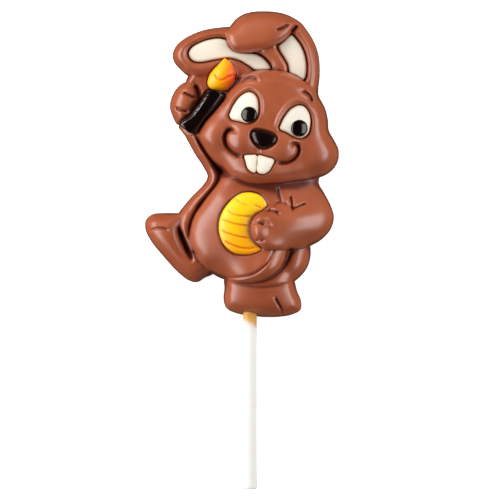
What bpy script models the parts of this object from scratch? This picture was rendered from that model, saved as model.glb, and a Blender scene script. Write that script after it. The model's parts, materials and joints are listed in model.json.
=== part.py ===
"""Moulded chocolate lollipop: a milk chocolate rabbit that holds a paintbrush and an egg, on a paper stick.

It lies on its flat back. +Y runs from the stick to the ears and +Z out of the moulded side. Lengths are in
millimetres until a mesh is made, which is in metres. The moulded side is one height over the flat back:
each form (ear, head, arm, belly, foot) is a rounded pad inside a smooth outline, laid over the forms below.
The white, dark and yellow parts are separate castings that sit in pockets of the milk chocolate.
"""

import math

import bmesh
import bpy
import numpy as np
from mathutils import Vector
from mathutils.geometry import delaunay_2d_cdt

MM = 0.001

# Stick, and the room round each separate piece
STICK_END_Y = -74.8
STICK_TOP_Y = 26.0
STICK_RADIUS = 2.2
STICK_AXIS_Z = 3.0
STICK_CHAMFER = 0.35
STICK_SIDES = 40
SOCKET_OPEN_Y = -24.0
CLEARANCE = 0.3

# Grid that the heights are worked out on, and how fine the meshes are
PITCH = 0.5
LOW_X, HIGH_X = -36.0, 31.0
LOW_Y, HIGH_Y = -24.0, 78.0
CURVE_STEP = 1.0
SKIRT_Z = -15.0
FAR_BELOW = -1000.0
BODY_TRIANGLES = 7800
INLAY_SPACING = 1.3
POCKET_SPACING = 4.0
POCKET_TOP = 21.0
PUPIL_SIDES = 32
SHARP_ANGLE = 35
WELD = 1e-6
CDT_TOLERANCE = 1e-5

# The forms from the lowest to the highest: wall where the edge stands on the bare back, how far in it is
# rounded, the step above what the form lies on, how far in that step is rounded, how much the middle swells
FORMS = {
    "web": (4.4, 2.5, 0, 1, 0),
    "left_ear": (4.4, 3.4, 1.6, 2.6, 0.1),
    "right_ear": (4.4, 3.4, 1.4, 2.2, 0.1),
    "ear_fold": (3, 4.5, 2, 3, 0.6),
    "raised_arm": (3.4, 4.5, 1.2, 2.5, 0.6),
    "left_foot": (3, 5.5, 1.2, 3, 0.7),
    "hip": (3, 4.5, 0.8, 2, 0.7),
    "foot_block": (4, 3.4, 0.6, 3, 0.85),
    "belly": (3, 6.5, 1.6, 4.5, 0.56),
    "right_arm": (3, 5, 1.6, 3, 0.5),
    "raised_hand": (3, 4.5, 1.6, 3, 0.8),
    "head": (3.4, 6, 3.6, 5, 0.36),
}
# Levels on the picture between which a form's step dies out
FORM_FADES = {"right_arm": (24, 9)}
SWELL_SOFTNESS = 2.0
EDGE_SLOPE = 4.0
PUFF_MARGIN = 2.0

# The order in which forms and inlays lie on each other
LAYERS = (
    "web", "left_ear", "ear_inner_left", "right_ear", "ear_inner_right", "ear_fold", "raised_arm",
    "left_foot", "foot_block", "hip", "belly", "egg", "right_arm", "raised_hand", "head",
    "eye_white_left", "eye_white_right", "nose", "tooth_left", "tooth_right", "brush_handle",
    "brush_tip",
)

# Outlines of the forms, read anticlockwise or clockwise as they come, in (x, y)
OUTLINES = {
    "web": [
        (-19.6, 54.2), (-12, 60), (-2, 60), (4, 57), (2, 50), (-8, 42), (-10, 28), (-8, 20), (-16, 10),
        (-14, 0), (-12, -6.4), (-17, -7.5), (-23, -3), (-27, 4), (-24, 9.5), (-20, 11.5), (-12.5, 22),
        (-15, 30), (-20, 40),
    ],
    "left_ear": [
        (-19.4, 54.6), (-21.7, 56.5), (-23.7, 58.8), (-24.25, 61.2), (-23.3, 63.8), (-21, 66),
        (-17.7, 67.8), (-14.3, 69), (-9.3, 69.8), (-4, 69.9), (3, 67.5), (8, 62.5), (9, 57), (6, 53.5),
        (-2, 53), (-9, 54.2), (-15, 54.4),
    ],
    "right_ear": [
        (3.4, 62.2), (6.6, 58.5), (7.2, 54.5), (12, 52), (17, 49.5), (21, 48.5), (21.5, 51.3),
        (21.87, 55), (21.7, 59.7), (21, 63), (19.7, 66), (17.8, 69), (15.7, 71.5), (13, 72.5), (7, 69),
        (3.6, 65.5),
    ],
    "ear_fold": [
        (-7.4, 67.3), (-6.9, 69.2), (-5.6, 71), (-4.2, 72.6), (-1.9, 74), (1.7, 74.8), (6.7, 74.8),
        (11, 74), (14.2, 72.5), (15.8, 71.2), (14.6, 70.1), (12.6, 67.6), (10.2, 65.3), (6.5, 63.4),
        (2, 62), (-1.5, 61.7), (-4.8, 62.2), (-6.9, 64.5),
    ],
    "raised_arm": [
        (-22.5, 39.2), (-20.3, 35.6), (-17, 29.7), (-14.5, 25.9), (-13.3, 23), (-14.6, 20.5), (-18, 17),
        (-20.4, 14.2), (-22.6, 11), (-22.3, 6.5), (-20.8, 2), (-19.1, -1.4), (-17.6, -2.2), (-16.5, 0),
        (-16.8, 4.5), (-15.8, 9.5), (-13.6, 14.8), (-9.9, 19.6), (-8.7, 23.5), (-10.6, 27.5),
        (-13.8, 32.5), (-15.6, 37), (-17.5, 40.5),
    ],
    "left_foot": [
        (-23.3, 11.6), (-27, 11.6), (-30.6, 11.2), (-32.7, 9.3), (-32.8, 6.5), (-31, 2.8), (-27.3, -1.8),
        (-22.7, -6.8), (-19.3, -9.5), (-16.6, -10.1), (-14.2, -8.7), (-11.5, -7.4), (-10.5, -4),
        (-14, -1), (-17.5, -1), (-19.2, -0.8), (-21.2, 2.8), (-22.2, 6.2), (-21.6, 9), (-21.4, 11.4),
    ],
    "hip": [
        (18.8, 2), (19, -1.5), (18, -5.4), (15.7, -8.4), (12.5, -10.6), (7, -11.4), (0, -11.6),
        (-6, -10.4), (-6, -8), (0, -6), (5, -2), (8, 4), (14, 7), (18, 6),
    ],
    "foot_block": [
        (-8.1, -9.3), (-8, -11.8), (-8.3, -15.4), (-7.4, -18.2), (-4, -19.9), (2, -20.8), (8, -21),
        (12.6, -20.4), (15.8, -18.8), (16, -16), (14.8, -13), (14.1, -10.2), (13, -6), (3, -3), (-6, -5),
    ],
    "belly": [
        (-9.2, 24), (-10.3, 20.8), (-14.3, 15.7), (-17.6, 10.8), (-18.9, 5.5), (-17.9, 0.4),
        (-14.9, -4.6), (-10.5, -8.2), (-5, -10), (0, -10.3), (5, -9.3), (9.6, -6), (12, -1), (14.5, 6),
        (16.5, 14), (16, 20.6), (14, 26), (4, 27.5), (-6, 26.5),
    ],
    "right_arm": [
        (0.1, 6.5), (0.7, 4), (2.3, 1.8), (4.6, 0.3), (9, -0.1), (15, 0.2), (19.2, 1.4), (22.7, 3.5),
        (25.4, 6.7), (26.3, 10.4), (25.2, 14.2), (23.2, 18), (21.6, 21), (21.8, 25), (15, 28), (9, 26),
        (8.2, 19.5), (9, 15.2), (7.2, 13.4), (4.4, 12.4), (1.9, 10.9), (0.5, 8.9),
    ],
    "raised_hand": [
        (-19.2, 52.7), (-21.8, 51.8), (-24.1, 48.9), (-25.1, 45.2), (-24.3, 42), (-22.6, 39.2),
        (-20.2, 39.6), (-18.2, 42.7), (-16.6, 45.6), (-16.4, 48.2), (-17.4, 51.2),
    ],
    "head": [
        (1.7, 56), (6.7, 56.3), (11, 55.8), (15, 54.1), (18.2, 51.8), (20.9, 50), (21.8, 47.7),
        (23.4, 44.8), (24.4, 41), (24.7, 37.6), (26.3, 34.6), (27.7, 31.7), (27.8, 28.7), (26.3, 25.6),
        (23.5, 23.4), (19, 22.1), (13, 21.1), (6, 20.5), (0, 20.7), (-4, 22.2), (-8.5, 24.4),
        (-11.6, 27.5), (-14.6, 31.7), (-16.6, 35.6), (-15.2, 39.6), (-11.6, 44.1), (-8, 48.3), (-4.6, 52),
        (-1.6, 54.6),
    ],
}

# Soft bumps on each form: centre x, y, half-widths along x and y, height
PUFFS = {
    "raised_arm": [
        (-20.5, 8.5, 3, 5, 0.5),
    ],
    "belly": [
        (4.5, 18.8, 15, 6, -2.2),
        (6.8, -5, 6.5, 6, 1.1),
    ],
    "right_arm": [
        (16, 7.8, 11, 8, 1.7),
        (3, 10.2, 3.6, 2.4, 0.9),
        (2.6, 5.7, 3.6, 3, 0.9),
        (6.8, 13, 3, 2, 0.6),
    ],
    "hip": [
        (14.8, -5, 4.2, 6, 1.1),
    ],
    "head": [
        (-11.8, 36, 6, 7, 1.1),
        (-3, 34, 6, 6.2, 2.1),
        (10.2, 31.6, 7, 6, 1.5),
        (21.5, 30, 6.5, 7, 0.8),
        (4.5, 24, 9, 4.5, 0.6),
        (21.6, 41, 3, 7, 0.5),
    ],
}

# Grooves pressed into the surface: points, depth, half-width
GROOVES = {
    "arm_and_cheek": ([(-16.6, 35.6), (-14.7, 31.8), (-12, 28), (-9.9, 25.4)], 1.2, 0.5),
    "arm_and_belly": (
        [
            (-9.3, 24.4), (-9.7, 22), (-12, 18.7), (-14.8, 15.2), (-17.2, 11.5), (-18.8, 7.3), (-19, 4),
        ],
        0.9, 0.5,
    ),
    "chin": ([(-9.2, 24.9), (-6, 23), (-1.8, 20.9), (3, 20.2), (8, 20.2)], 0.35, 0.9),
    "foot_and_thigh": ([(-22.2, 6.4), (-21.2, 4), (-20.2, 1.6), (-19.2, -0.8), (-18.2, -3.2)], 2.4, 0.6),
    "toe_fold": ([(-31, 5.9), (-30, 6.5), (-28.3, 6.8), (-26.6, 6.6), (-25.5, 6.2)], 0.8, 0.38),
    "belly_patch": (
        [
            (7.4, 0), (6.2, -2.9), (4, -5.5), (1, -7.5), (-3, -8.6), (-7, -8.5), (-10.5, -7.4),
            (-12.2, -6.3),
        ],
        0.8, 0.4,
    ),
    "belly_rim": ([(12.4, 0), (11.8, -3), (8.8, -6.9), (5, -9.5), (0, -10.5), (-5.5, -9.8)], 0.7, 0.7),
    "leg_and_foot": ([(-6, -10.6), (0, -11.3), (6, -11.4), (12.5, -10.3)], 0.35, 0.5),
    "block_toe": ([(7.8, -14.9), (8.8, -16.5), (9.7, -18.2), (10.4, -20.4)], 1.1, 0.42),
    "smile_left": (
        [
            (-4.6, 37), (-5.8, 37.4), (-7, 37), (-7.8, 35.4), (-7.7, 33.6), (-6.7, 31.7), (-4.7, 30),
            (-2.1, 29),
        ],
        2.2, 0.75,
    ),
    "smile_right": (
        [
            (7.9, 27.5), (10, 27.1), (12.5, 27.6), (14.5, 29.2), (15.2, 31.2), (14.6, 32.8), (13.5, 33.1),
            (12.9, 32.4),
        ],
        1.9, 0.65,
    ),
    "lip_split": ([(2.7, 31.9), (3, 30.2)], 0.5, 0.35),
    "left_brow": ([(-2.8, 52.3), (-1, 53.4), (0.8, 53.8), (2.2, 53)], 1.5, 0.55),
    "right_brow": ([(16.2, 49.6), (17.8, 48.8), (18.9, 47.6), (19.5, 46.1)], 1.3, 0.5),
    "hand_fingers_high": ([(-20.8, 49.3), (-19, 48.3), (-17.2, 47.3)], 1.4, 0.45),
    "hand_fingers_low": ([(-23.2, 44.4), (-21.5, 43.7), (-19.3, 43.2)], 1.4, 0.45),
    "egg_fingers_high": ([(0.6, 8.4), (3, 8.3), (4.6, 7.9)], 0.9, 0.4),
    "egg_fingers_low": ([(2, 3.1), (4.4, 2.9)], 0.9, 0.4),
    "thumb": ([(4.6, 11.9), (6.2, 12.2), (8.2, 11.7), (9.2, 11.1)], 1.1, 0.42),
    "chest_fold": ([(8.7, 19.6), (9.2, 17), (9.9, 15)], 0.8, 0.36),
    "arm_fold": ([(8.4, 14.9), (10.4, 14.7), (12, 14), (13.2, 12.9)], 0.8, 0.5),
    "elbow_fold_high": ([(12.6, 17), (13, 14.9), (13.3, 12)], 1.2, 0.36),
    "elbow_fold_low": ([(13.3, 12.8), (15, 13.5), (17.4, 14.6)], 1.2, 0.36),
    "ear_crease": ([(8.2, 68.6), (10, 69.2), (12, 70.4)], 1.1, 0.45),
    "ear_rim_crease": (
        [
            (16.6, 68.4), (18.6, 65), (19.7, 61), (20, 57), (19.8, 53), (19.4, 51),
        ],
        0.25, 0.5,
    ),
    "ear_fold_notch": ([(12.9, 68), (14.8, 70.2)], 2, 0.6),
    "eye_corner": ([(19.1, 41), (18.9, 38), (18.2, 35.6), (16, 34.4)], 0.8, 0.45),
    "hand_gap": ([(-17.4, 51.8), (-16.2, 49), (-15.9, 46.6), (-17.3, 44.2)], 1.7, 0.9),
}
# Ridges that stand on it: points, height, half-width
RIDGES = {
    "left_eye_lid": (
        [
            (-6.8, 45.4), (-4.8, 48.2), (-2.2, 50.2), (0.4, 50.8), (2.5, 49.4), (3.6, 46.6), (3.7, 43.6),
            (3.1, 41),
        ],
        0.5, 0.5,
    ),
    "right_eye_lid": (
        [
            (8, 37.6), (8.5, 40.2), (10, 43.2), (12.4, 45.8), (15, 46.8), (17.6, 46), (19.4, 43.6),
        ],
        0.5, 0.55,
    ),
    "left_brow": ([(-2.6, 53.6), (-0.8, 54.7), (0.9, 55), (2.3, 54.5), (3.2, 53.2)], 0.9, 0.5),
    "right_brow": ([(17.2, 50.2), (18.6, 49.2), (19.7, 47.8), (20.2, 46.2)], 0.7, 0.5),
    "ear_fold_crease": ([(8.2, 69.3), (9.6, 70.1), (11.3, 71.3)], 0.8, 0.5),
    "knuckle_high": ([(5, 8.9), (6, 8.3), (6.4, 7.3)], 0.5, 0.6),
    "thumb": ([(5.2, 13), (6.8, 13.2), (8.8, 12.5)], 0.9, 0.5),
}
GROOVE_TAPER = 0.12
GROOVE_END_DEPTH = 0.3

# Inlays: outline, thickness at the edge, the edge's height over the form below it (over the back for those in
# INLAYS_ON_BACK), rise of the middle, how far round it the chocolate dips, and how deep that dip is
INLAYS = {
    "ear_inner_left": (
        [
            (-19.2, 61.3), (-18.4, 63.1), (-15.9, 64.7), (-12.3, 65.9), (-9, 66.1), (-7.2, 65.4),
            (-6.4, 63.6), (-4.4, 62), (-1, 61.5), (2, 61.2), (4.3, 60), (6, 58), (6.6, 56.7), (3.6, 56.3),
            (1.6, 56.4), (-0.6, 57.8), (-3.4, 59.4), (-7, 60.2), (-11.3, 59.5), (-15.6, 58.8),
            (-18, 59.3),
        ],
        2, -1.5, 0.35, 2.3, 2,
    ),
    "ear_inner_right": (
        [
            (12.9, 67.2), (14.8, 65.5), (16.4, 63), (17.4, 60), (17.7, 56.8), (17.2, 53.7), (16.6, 53.2),
            (14.4, 54.5), (12.4, 55.5), (12, 57.6), (10.9, 59.8), (9.3, 62.2), (8.8, 63.7), (10.6, 65.4),
        ],
        2, -1.5, 0.35, 1.6, 2,
    ),
    "eye_white_left": (
        [
            (-0.4, 49.2), (-2.6, 48.2), (-4.6, 45.9), (-6, 43.3), (-6.4, 41.7), (-5.6, 40.6),
            (-3.4, 40.1), (-0.8, 39.5), (1.4, 40.4), (2.5, 42.3), (2.7, 45), (2.3, 47.4), (1.1, 48.8),
        ],
        2.6, -0.55, 0.8, 1.3, 0.65,
    ),
    "eye_white_right": (
        [
            (15.2, 45.1), (12.8, 44), (10.9, 41.7), (9.6, 39.2), (9.3, 37.7), (11.4, 36.6), (13.4, 35.5),
            (15.6, 34.9), (17.8, 36), (18.7, 38.5), (18.8, 41), (18.2, 43), (16.9, 44.7),
        ],
        2.6, -0.55, 0.8, 1.3, 0.65,
    ),
    "nose": (
        [
            (0.3, 35.8), (0.8, 37), (2.4, 37.4), (5, 36.9), (7.3, 35.9), (8.3, 34.7), (7.7, 33.3),
            (6, 32.1), (4.2, 31.7), (2.6, 32.2), (1.1, 33.7),
        ],
        3, 0.3, 1.1, 0.8, 0.3,
    ),
    "tooth_left": (
        [
            (-1.7, 29.4), (-1.3, 27.4), (-0.8, 25.6), (0.2, 24.5), (1.4, 24.05), (1.95, 24.7), (2.12, 27),
            (2.17, 29.2), (1.7, 29.6), (0.3, 29.6),
        ],
        2.4, 0.1, 0.5, 0.8, 0.3,
    ),
    "tooth_right": (
        [
            (2.9, 29.5), (2.36, 29.2), (2.31, 27), (2.19, 24.6), (2.9, 23.85), (4.3, 23.7), (5.8, 24.5),
            (6.8, 26), (7.5, 27.8), (7.2, 28.3), (5.2, 28.9),
        ],
        2.4, 0.1, 0.5, 0.8, 0.3,
    ),
    "brush_handle": (
        [
            (-22.1, 39.3), (-20.4, 40.9), (-18.5, 42.3), (-16.9, 44.5), (-15.3, 46.8), (-13.1, 49.8),
            (-11.4, 50), (-9.6, 49.1), (-8, 48.3), (-9.4, 46), (-11.6, 43.4), (-14, 41), (-15.6, 38.6),
            (-16.6, 36.8), (-18.7, 36.4), (-20.4, 37.8),
        ],
        3.9, 6.4, 2.9, 0.8, 0.2,
    ),
    "brush_tip": (
        [
            (-7.9, 59.95), (-8.7, 59.2), (-9.8, 58), (-11.6, 56.2), (-12.9, 54), (-13.2, 51.8),
            (-12.4, 50.6), (-10.4, 50.1), (-8.2, 49.9), (-6.4, 51), (-5, 52.8), (-4.6, 55), (-5.1, 57.2),
            (-6.2, 58.8), (-7.15, 59.5),
        ],
        3.4, 6.2, 2.4, 0.8, 0.2,
    ),
    "egg": (
        [
            (-0.4, 18), (2.4, 17.4), (4.3, 15.9), (5.2, 13.8), (4, 12.6), (1.6, 11.2), (0.1, 9.2),
            (-0.3, 6.6), (0.2, 4), (1.7, 1.7), (3.4, 0.3), (1.6, -0.8), (-1.5, -1.4), (-5, -0.9),
            (-7.8, 1.3), (-9.4, 4.7), (-9.6, 8.6), (-8.3, 12.4), (-5.6, 15.7), (-3, 17.5),
        ],
        3, -0.3, 1.6, 0.9, 0.3,
    ),
}
INLAYS_ON_BACK = ("brush_handle", "brush_tip")
# Half-round inlays: the line along the middle, and the half-width
INLAY_AXES = {
    "brush_handle": ([(-19.6, 38.3), (-16, 42), (-13, 45.8), (-10.3, 49.6)], 3.3),
}
INLAY_ROUNDING = 0.7

# Pupils: the eye white that holds each, centre and radius
PUPILS = {
    "pupil_left": ("eye_white_left", (-0.35, 42.25), 2.55),
    "pupil_right": ("eye_white_right", (15.35, 38), 2.7),
}
PUPIL_THICKNESS = 1.4
PUPIL_LIFT = 0.8
PUPIL_RISE = 0.9

# Colours seen on the pieces, sRGB, and how rough each finish is
MILK_CHOCOLATE = ((165, 88, 57), 0.32)
WHITE_CHOCOLATE = ((246, 234, 214), 0.30)
DARK_CHOCOLATE = ((24, 9, 8), 0.20)
YELLOW_CHOCOLATE = ((253, 206, 14), 0.28)
ORANGE_CHOCOLATE = ((252, 176, 14), 0.28)
PAPER = ((246, 244, 241), 0.65)
INLAY_FINISHES = {
    "ear_inner_left": "white",
    "ear_inner_right": "white",
    "eye_white_left": "white",
    "eye_white_right": "white",
    "tooth_left": "white",
    "tooth_right": "white",
    "nose": "dark",
    "brush_handle": "dark",
    "brush_tip": "orange",
    "egg": "yellow",
}


# Curves and distances


def smooth_curve(points, closed=True):
    """Points about CURVE_STEP apart along a rounded line through the given ones."""
    knots = [np.array(point, float) for point in points]
    count = len(knots)
    if closed:
        padded = [knots[-1]] + knots + knots[:2]
    else:
        padded = [2 * knots[0] - knots[1]] + knots + [2 * knots[-1] - knots[-2]]
    spans = count if closed else count - 1
    line = []
    for i in range(spans):
        before, start, end, after = padded[i : i + 4]
        legs = start - before, end - start, after - end
        gaps = [math.sqrt(np.linalg.norm(leg)) for leg in legs]
        rates = [leg / gap for leg, gap in zip(legs, gaps)]
        slope_in = rates[0] - (end - before) / (gaps[0] + gaps[1]) + rates[1]
        slope_out = rates[1] - (after - start) / (gaps[1] + gaps[2]) + rates[2]
        steps = max(2, round(np.linalg.norm(end - start) / CURVE_STEP))
        for t in np.arange(steps) / steps:
            line.append(
                (2 * t**3 - 3 * t**2 + 1) * start
                + (t**3 - 2 * t**2 + t) * slope_in * gaps[1]
                + (3 * t**2 - 2 * t**3) * end
                + (t**3 - t**2) * slope_out * gaps[1]
            )
    if not closed:
        line.append(knots[-1])
    return np.array(line)


def distance_to_line(x, y, line, closed):
    """Distance to the line, and how far along it the nearest point is, from 0 to 1."""
    ends = np.roll(line, -1, axis=0) if closed else line[1:]
    starts = line if closed else line[:-1]
    lengths = np.linalg.norm(ends - starts, axis=1)
    travelled = np.concatenate([[0], np.cumsum(lengths)])
    nearest = np.full(x.shape, np.inf)
    along = np.zeros(x.shape)
    for (ax, ay), (bx, by), length, before in zip(starts, ends, lengths, travelled):
        if length == 0:
            continue
        dx, dy = (bx - ax) / length, (by - ay) / length
        t = np.clip((x - ax) * dx + (y - ay) * dy, 0, length)
        gap = np.hypot(x - ax - t * dx, y - ay - t * dy)
        closer = gap < nearest
        nearest[closer] = gap[closer]
        along[closer] = before + t[closer]
    return nearest, along / travelled[-1]


def distance_inside(x, y, outline):
    """Distance to a closed outline, positive inside it."""
    distance, _ = distance_to_line(x, y, outline, True)
    inside = np.zeros(x.shape, bool)
    for (ax, ay), (bx, by) in zip(outline, np.roll(outline, -1, axis=0)):
        crosses = (ay > y) != (by > y)
        if ay != by:
            inside ^= crosses & (x < (bx - ax) * (y - ay) / (by - ay) + ax)
    return np.where(inside, distance, -distance)


# Heights


def relaxed(field, inside, source, width):
    """The field, settled inside by over-relaxed sweeps over a chequered grid."""
    rows, columns = np.indices(field.shape)
    chequers = [inside & ((rows + columns) % 2 == parity) for parity in (0, 1)]
    width_in_cells = 2.2 * width / PITCH + 2
    overshoot = 2 / (1 + math.sin(math.pi / width_in_cells))
    sweeps = int(2.5 * width_in_cells)
    for _ in range(sweeps):
        for chequer in chequers:
            beside = np.zeros(field.shape)
            beside[1:-1, 1:-1] = field[:-2, 1:-1] + field[2:, 1:-1] + field[1:-1, :-2] + field[1:-1, 2:]
            change = (beside + source) / 4 - field
            field[chequer] += overshoot * change[chequer]
    return field


def swelling(distance):
    """Height of a skin blown up inside the outline."""
    field = relaxed(np.zeros(distance.shape), distance > 0, PITCH**2, distance.max())
    return np.sqrt(2 * field + SWELL_SOFTNESS**2) - SWELL_SOFTNESS


def spread_inside(values, distance):
    """The values round an outline, carried smoothly over its inside."""
    inside = distance > 0
    rim = (distance > -1.5 * PITCH) & ~inside
    return relaxed(np.where(inside, values[rim].mean(), values), inside, 0, distance.max())


def rounded(distance, reach):
    """Rises from 0 at the outline to 1 at `reach` inwards, steep first."""
    return 1 - (1 - np.clip(distance / reach, 0, 1)) ** 3


def smooth_step(low, high, value):
    t = np.clip((value - low) / (high - low), 0, 1)
    return t * t * (3 - 2 * t)


def around(points, reach):
    """Slices of the grid that hold the points and their surroundings."""
    low, high = points.min(axis=0) - reach, points.max(axis=0) + reach
    columns = slice(max(0, int((low[0] - LOW_X) / PITCH)), int((high[0] - LOW_X) / PITCH) + 2)
    rows = slice(max(0, int((low[1] - LOW_Y) / PITCH)), int((high[1] - LOW_Y) / PITCH) + 2)
    return rows, columns


def grid():
    return np.meshgrid(np.arange(LOW_X, HIGH_X + PITCH, PITCH), np.arange(LOW_Y, HIGH_Y + PITCH, PITCH))


def add_form(name, plain, height, x, y):
    """A form carries on over the heights that its outline crosses, and stands out from the bare back."""
    wall, rounding, lift, pad, gain = FORMS[name]
    outline = smooth_curve(OUTLINES[name])
    window = around(outline, 2 * PITCH)
    px, py = x[window], y[window]
    distance = distance_inside(px, py, outline)
    below = plain[window]
    under = spread_inside(np.maximum(below, 0), distance)
    bare = spread_inside((below <= 0) * 1.0, distance)
    step = lift * rounded(distance, pad) + gain * swelling(distance)
    if name in FORM_FADES:
        step = step * smooth_step(*FORM_FADES[name], py)
    for cx, cy, rx, ry, rise in PUFFS.get(name, []):
        bump = np.clip(1 - ((px - cx) / rx) ** 2 - ((py - cy) / ry) ** 2, 0, 1) ** 2
        step = step + rise * bump * smooth_step(0, PUFF_MARGIN, distance)
    raised = under + wall * bare * rounded(distance, rounding) + step
    for surface in (plain, height):
        surface[window] = np.where(distance > 0, raised, np.maximum(surface[window], EDGE_SLOPE * distance))


def add_creases(height, x, y, creases, sign):
    for points, depth, width in creases.values():
        line = smooth_curve(points, closed=False)
        window = around(line, 4 * width)
        distance, along = distance_to_line(x[window], y[window], line, False)
        ends = np.clip(np.minimum(along, 1 - along) / GROOVE_TAPER, 0, 1)
        fade = GROOVE_END_DEPTH + (1 - GROOVE_END_DEPTH) * ends
        height[window] += sign * depth * fade * np.exp(-((distance / width) ** 2))


def inlay_plane(name, plain, height, x, y):
    """The plane that an inlay's edge lies in, as slopes and level, after a dip is pressed round it."""
    outline, _, level, _, reach, depth = INLAYS[name]
    line = smooth_curve(outline)
    window = around(line, reach)
    px, py = x[window], y[window]
    inside = distance_inside(px, py, line)
    height[window] -= depth * np.clip(1 + np.minimum(inside, 0) / reach, 0, 1) ** 2
    if name in INLAYS_ON_BACK:
        return np.array([0, 0, level])
    here = inside > 0.5
    spots = np.column_stack([px[here], py[here], np.ones(here.sum())])
    return np.linalg.lstsq(spots, plain[window][here], rcond=None)[0] + [0, 0, level]


def body_height(x, y):
    """Height over the back, and the plane of each inlay."""
    plain = np.full(x.shape, FAR_BELOW)
    height = plain.copy()
    planes = {}
    for name in LAYERS:
        if name in FORMS:
            add_form(name, plain, height, x, y)
        else:
            planes[name] = inlay_plane(name, plain, height, x, y)
    add_creases(height, x, y, GROOVES, -1)
    add_creases(height, x, y, RIDGES, 1)
    return height, planes


# Meshes


def material(name, colour, roughness):
    """Principled material; the colour is given as the sRGB values seen on the object, 0 to 255."""
    made = bpy.data.materials.new(name)
    made.use_nodes = True
    linear = [((c / 255 + 0.055) / 1.055) ** 2.4 if c > 10 else c / 255 / 12.92 for c in colour]
    shader = made.node_tree.nodes["Principled BSDF"]
    shader.inputs["Base Color"].default_value = (*linear, 1)
    shader.inputs["Roughness"].default_value = roughness
    shader.inputs["Metallic"].default_value = 0.0
    return made


def add_object(name, mesh, finish=None):
    obj = bpy.data.objects.new(name, mesh)
    bpy.context.scene.collection.objects.link(obj)
    if finish:
        mesh.materials.append(finish)
    return obj


def mesh_from(name, points, faces):
    mesh = bpy.data.meshes.new(name)
    mesh.from_pydata([tuple(p) for p in points], [], faces)
    mesh.update()
    return mesh


def height_sheet(x, y, height):
    """Open sheet over the grid, wherever a cell rises above the back."""
    rows, columns = height.shape
    index = np.arange(rows * columns).reshape(rows, columns)
    corners = [index[:-1, :-1], index[:-1, 1:], index[1:, 1:], index[1:, :-1]]
    quads = np.dstack(corners).reshape(-1, 4)
    rises = (height.ravel()[quads] > 0).any(axis=1)
    quads = quads[rises]
    used, flat = np.unique(quads, return_inverse=True)
    points = np.stack([x.ravel(), y.ravel(), np.maximum(height.ravel(), SKIRT_Z)], axis=1)[used] * MM
    return points, flat.reshape(-1, 4).tolist()


def thinned(mesh, triangles):
    """The mesh with fewer triangles, kept where the surface bends."""
    helper = add_object("thinning", mesh)
    modifier = helper.modifiers.new("decimate", "DECIMATE")
    modifier.ratio = min(1, triangles / (2 * len(mesh.polygons)))
    modifier.use_collapse_triangulate = True
    result = bpy.data.meshes.new_from_object(helper.evaluated_get(bpy.context.evaluated_depsgraph_get()))
    bpy.data.objects.remove(helper)
    return result


def close_at_back(mesh):
    """Cut the sheet off at z = 0 and close it with a flat back."""
    work = bmesh.new()
    work.from_mesh(mesh)
    everything = work.verts[:] + work.edges[:] + work.faces[:]
    bmesh.ops.bisect_plane(work, geom=everything, plane_co=(0, 0, 0), plane_no=(0, 0, 1), clear_inner=True)
    for vertex in work.verts:
        if vertex.is_boundary:
            vertex.co.z = 0
    bmesh.ops.remove_doubles(work, verts=work.verts, dist=WELD)
    rim = [edge for edge in work.edges if edge.is_boundary]
    filled = bmesh.ops.contextual_create(work, geom=rim)["faces"]
    bmesh.ops.triangulate(work, faces=filled)
    bmesh.ops.recalc_face_normals(work, faces=work.faces)
    work.to_mesh(mesh)
    work.free()


def on_plane(plane, x, y):
    return plane[0] * x + plane[1] * y + plane[2]


def inlay_height(name, x, y, outline, plane, rise):
    """Top of an inlay: rounded at its outline, and domed inside or half-round along its line."""
    distance = np.maximum(distance_inside(x, y, outline), 0)
    lip = INLAY_ROUNDING * np.clip(1 - distance / INLAY_ROUNDING, 0, 1) ** 2
    if name in INLAY_AXES:
        points, half_width = INLAY_AXES[name]
        aside, _ = distance_to_line(x, y, smooth_curve(points, closed=False), False)
        dome = np.sqrt(np.clip(1 - (aside / half_width) ** 2, 0, 1))
    else:
        dome = 1 - (1 - distance / distance.max()) ** 2
    return on_plane(plane, x, y) - lip + rise * dome


def disc_outline(centre, radius):
    turns = np.arange(PUPIL_SIDES) * 2 * math.pi / PUPIL_SIDES
    return np.stack([centre[0] + radius * np.cos(turns), centre[1] + radius * np.sin(turns)], axis=1)


def shifted_outline(outline, outwards):
    """The outline moved sideways by a small distance, outwards where positive."""
    ahead = np.roll(outline, -1, axis=0) - np.roll(outline, 1, axis=0)
    following = np.roll(outline, -1, axis=0)
    turn = np.sign(np.sum(outline[:, 0] * following[:, 1] - outline[:, 1] * following[:, 0]))
    normals = turn * np.stack([ahead[:, 1], -ahead[:, 0]], axis=1) / np.linalg.norm(ahead, axis=1)[:, None]
    return outline + outwards * normals


def triangulated(outline, spacing):
    """Corners and triangles that fill a closed outline, with inner points about `spacing` apart."""
    low, high = outline.min(axis=0), outline.max(axis=0)
    row_spacing = spacing * math.sqrt(3) / 2
    x, y = np.meshgrid(np.arange(low[0], high[0], spacing), np.arange(low[1], high[1], row_spacing))
    x[1::2] += spacing / 2
    inner = np.stack([x.ravel(), y.ravel()], axis=1)
    inner = inner[distance_inside(inner[:, 0], inner[:, 1], outline) > 0.5 * spacing]
    points = [Vector(p) for p in np.concatenate([outline, inner])]
    edges = [(i, (i + 1) % len(outline)) for i in range(len(outline))]
    corners, _, faces, *_ = delaunay_2d_cdt(points, edges, [], 1, CDT_TOLERANCE)
    return np.array([tuple(c) for c in corners]), [tuple(face) for face in faces]


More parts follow.
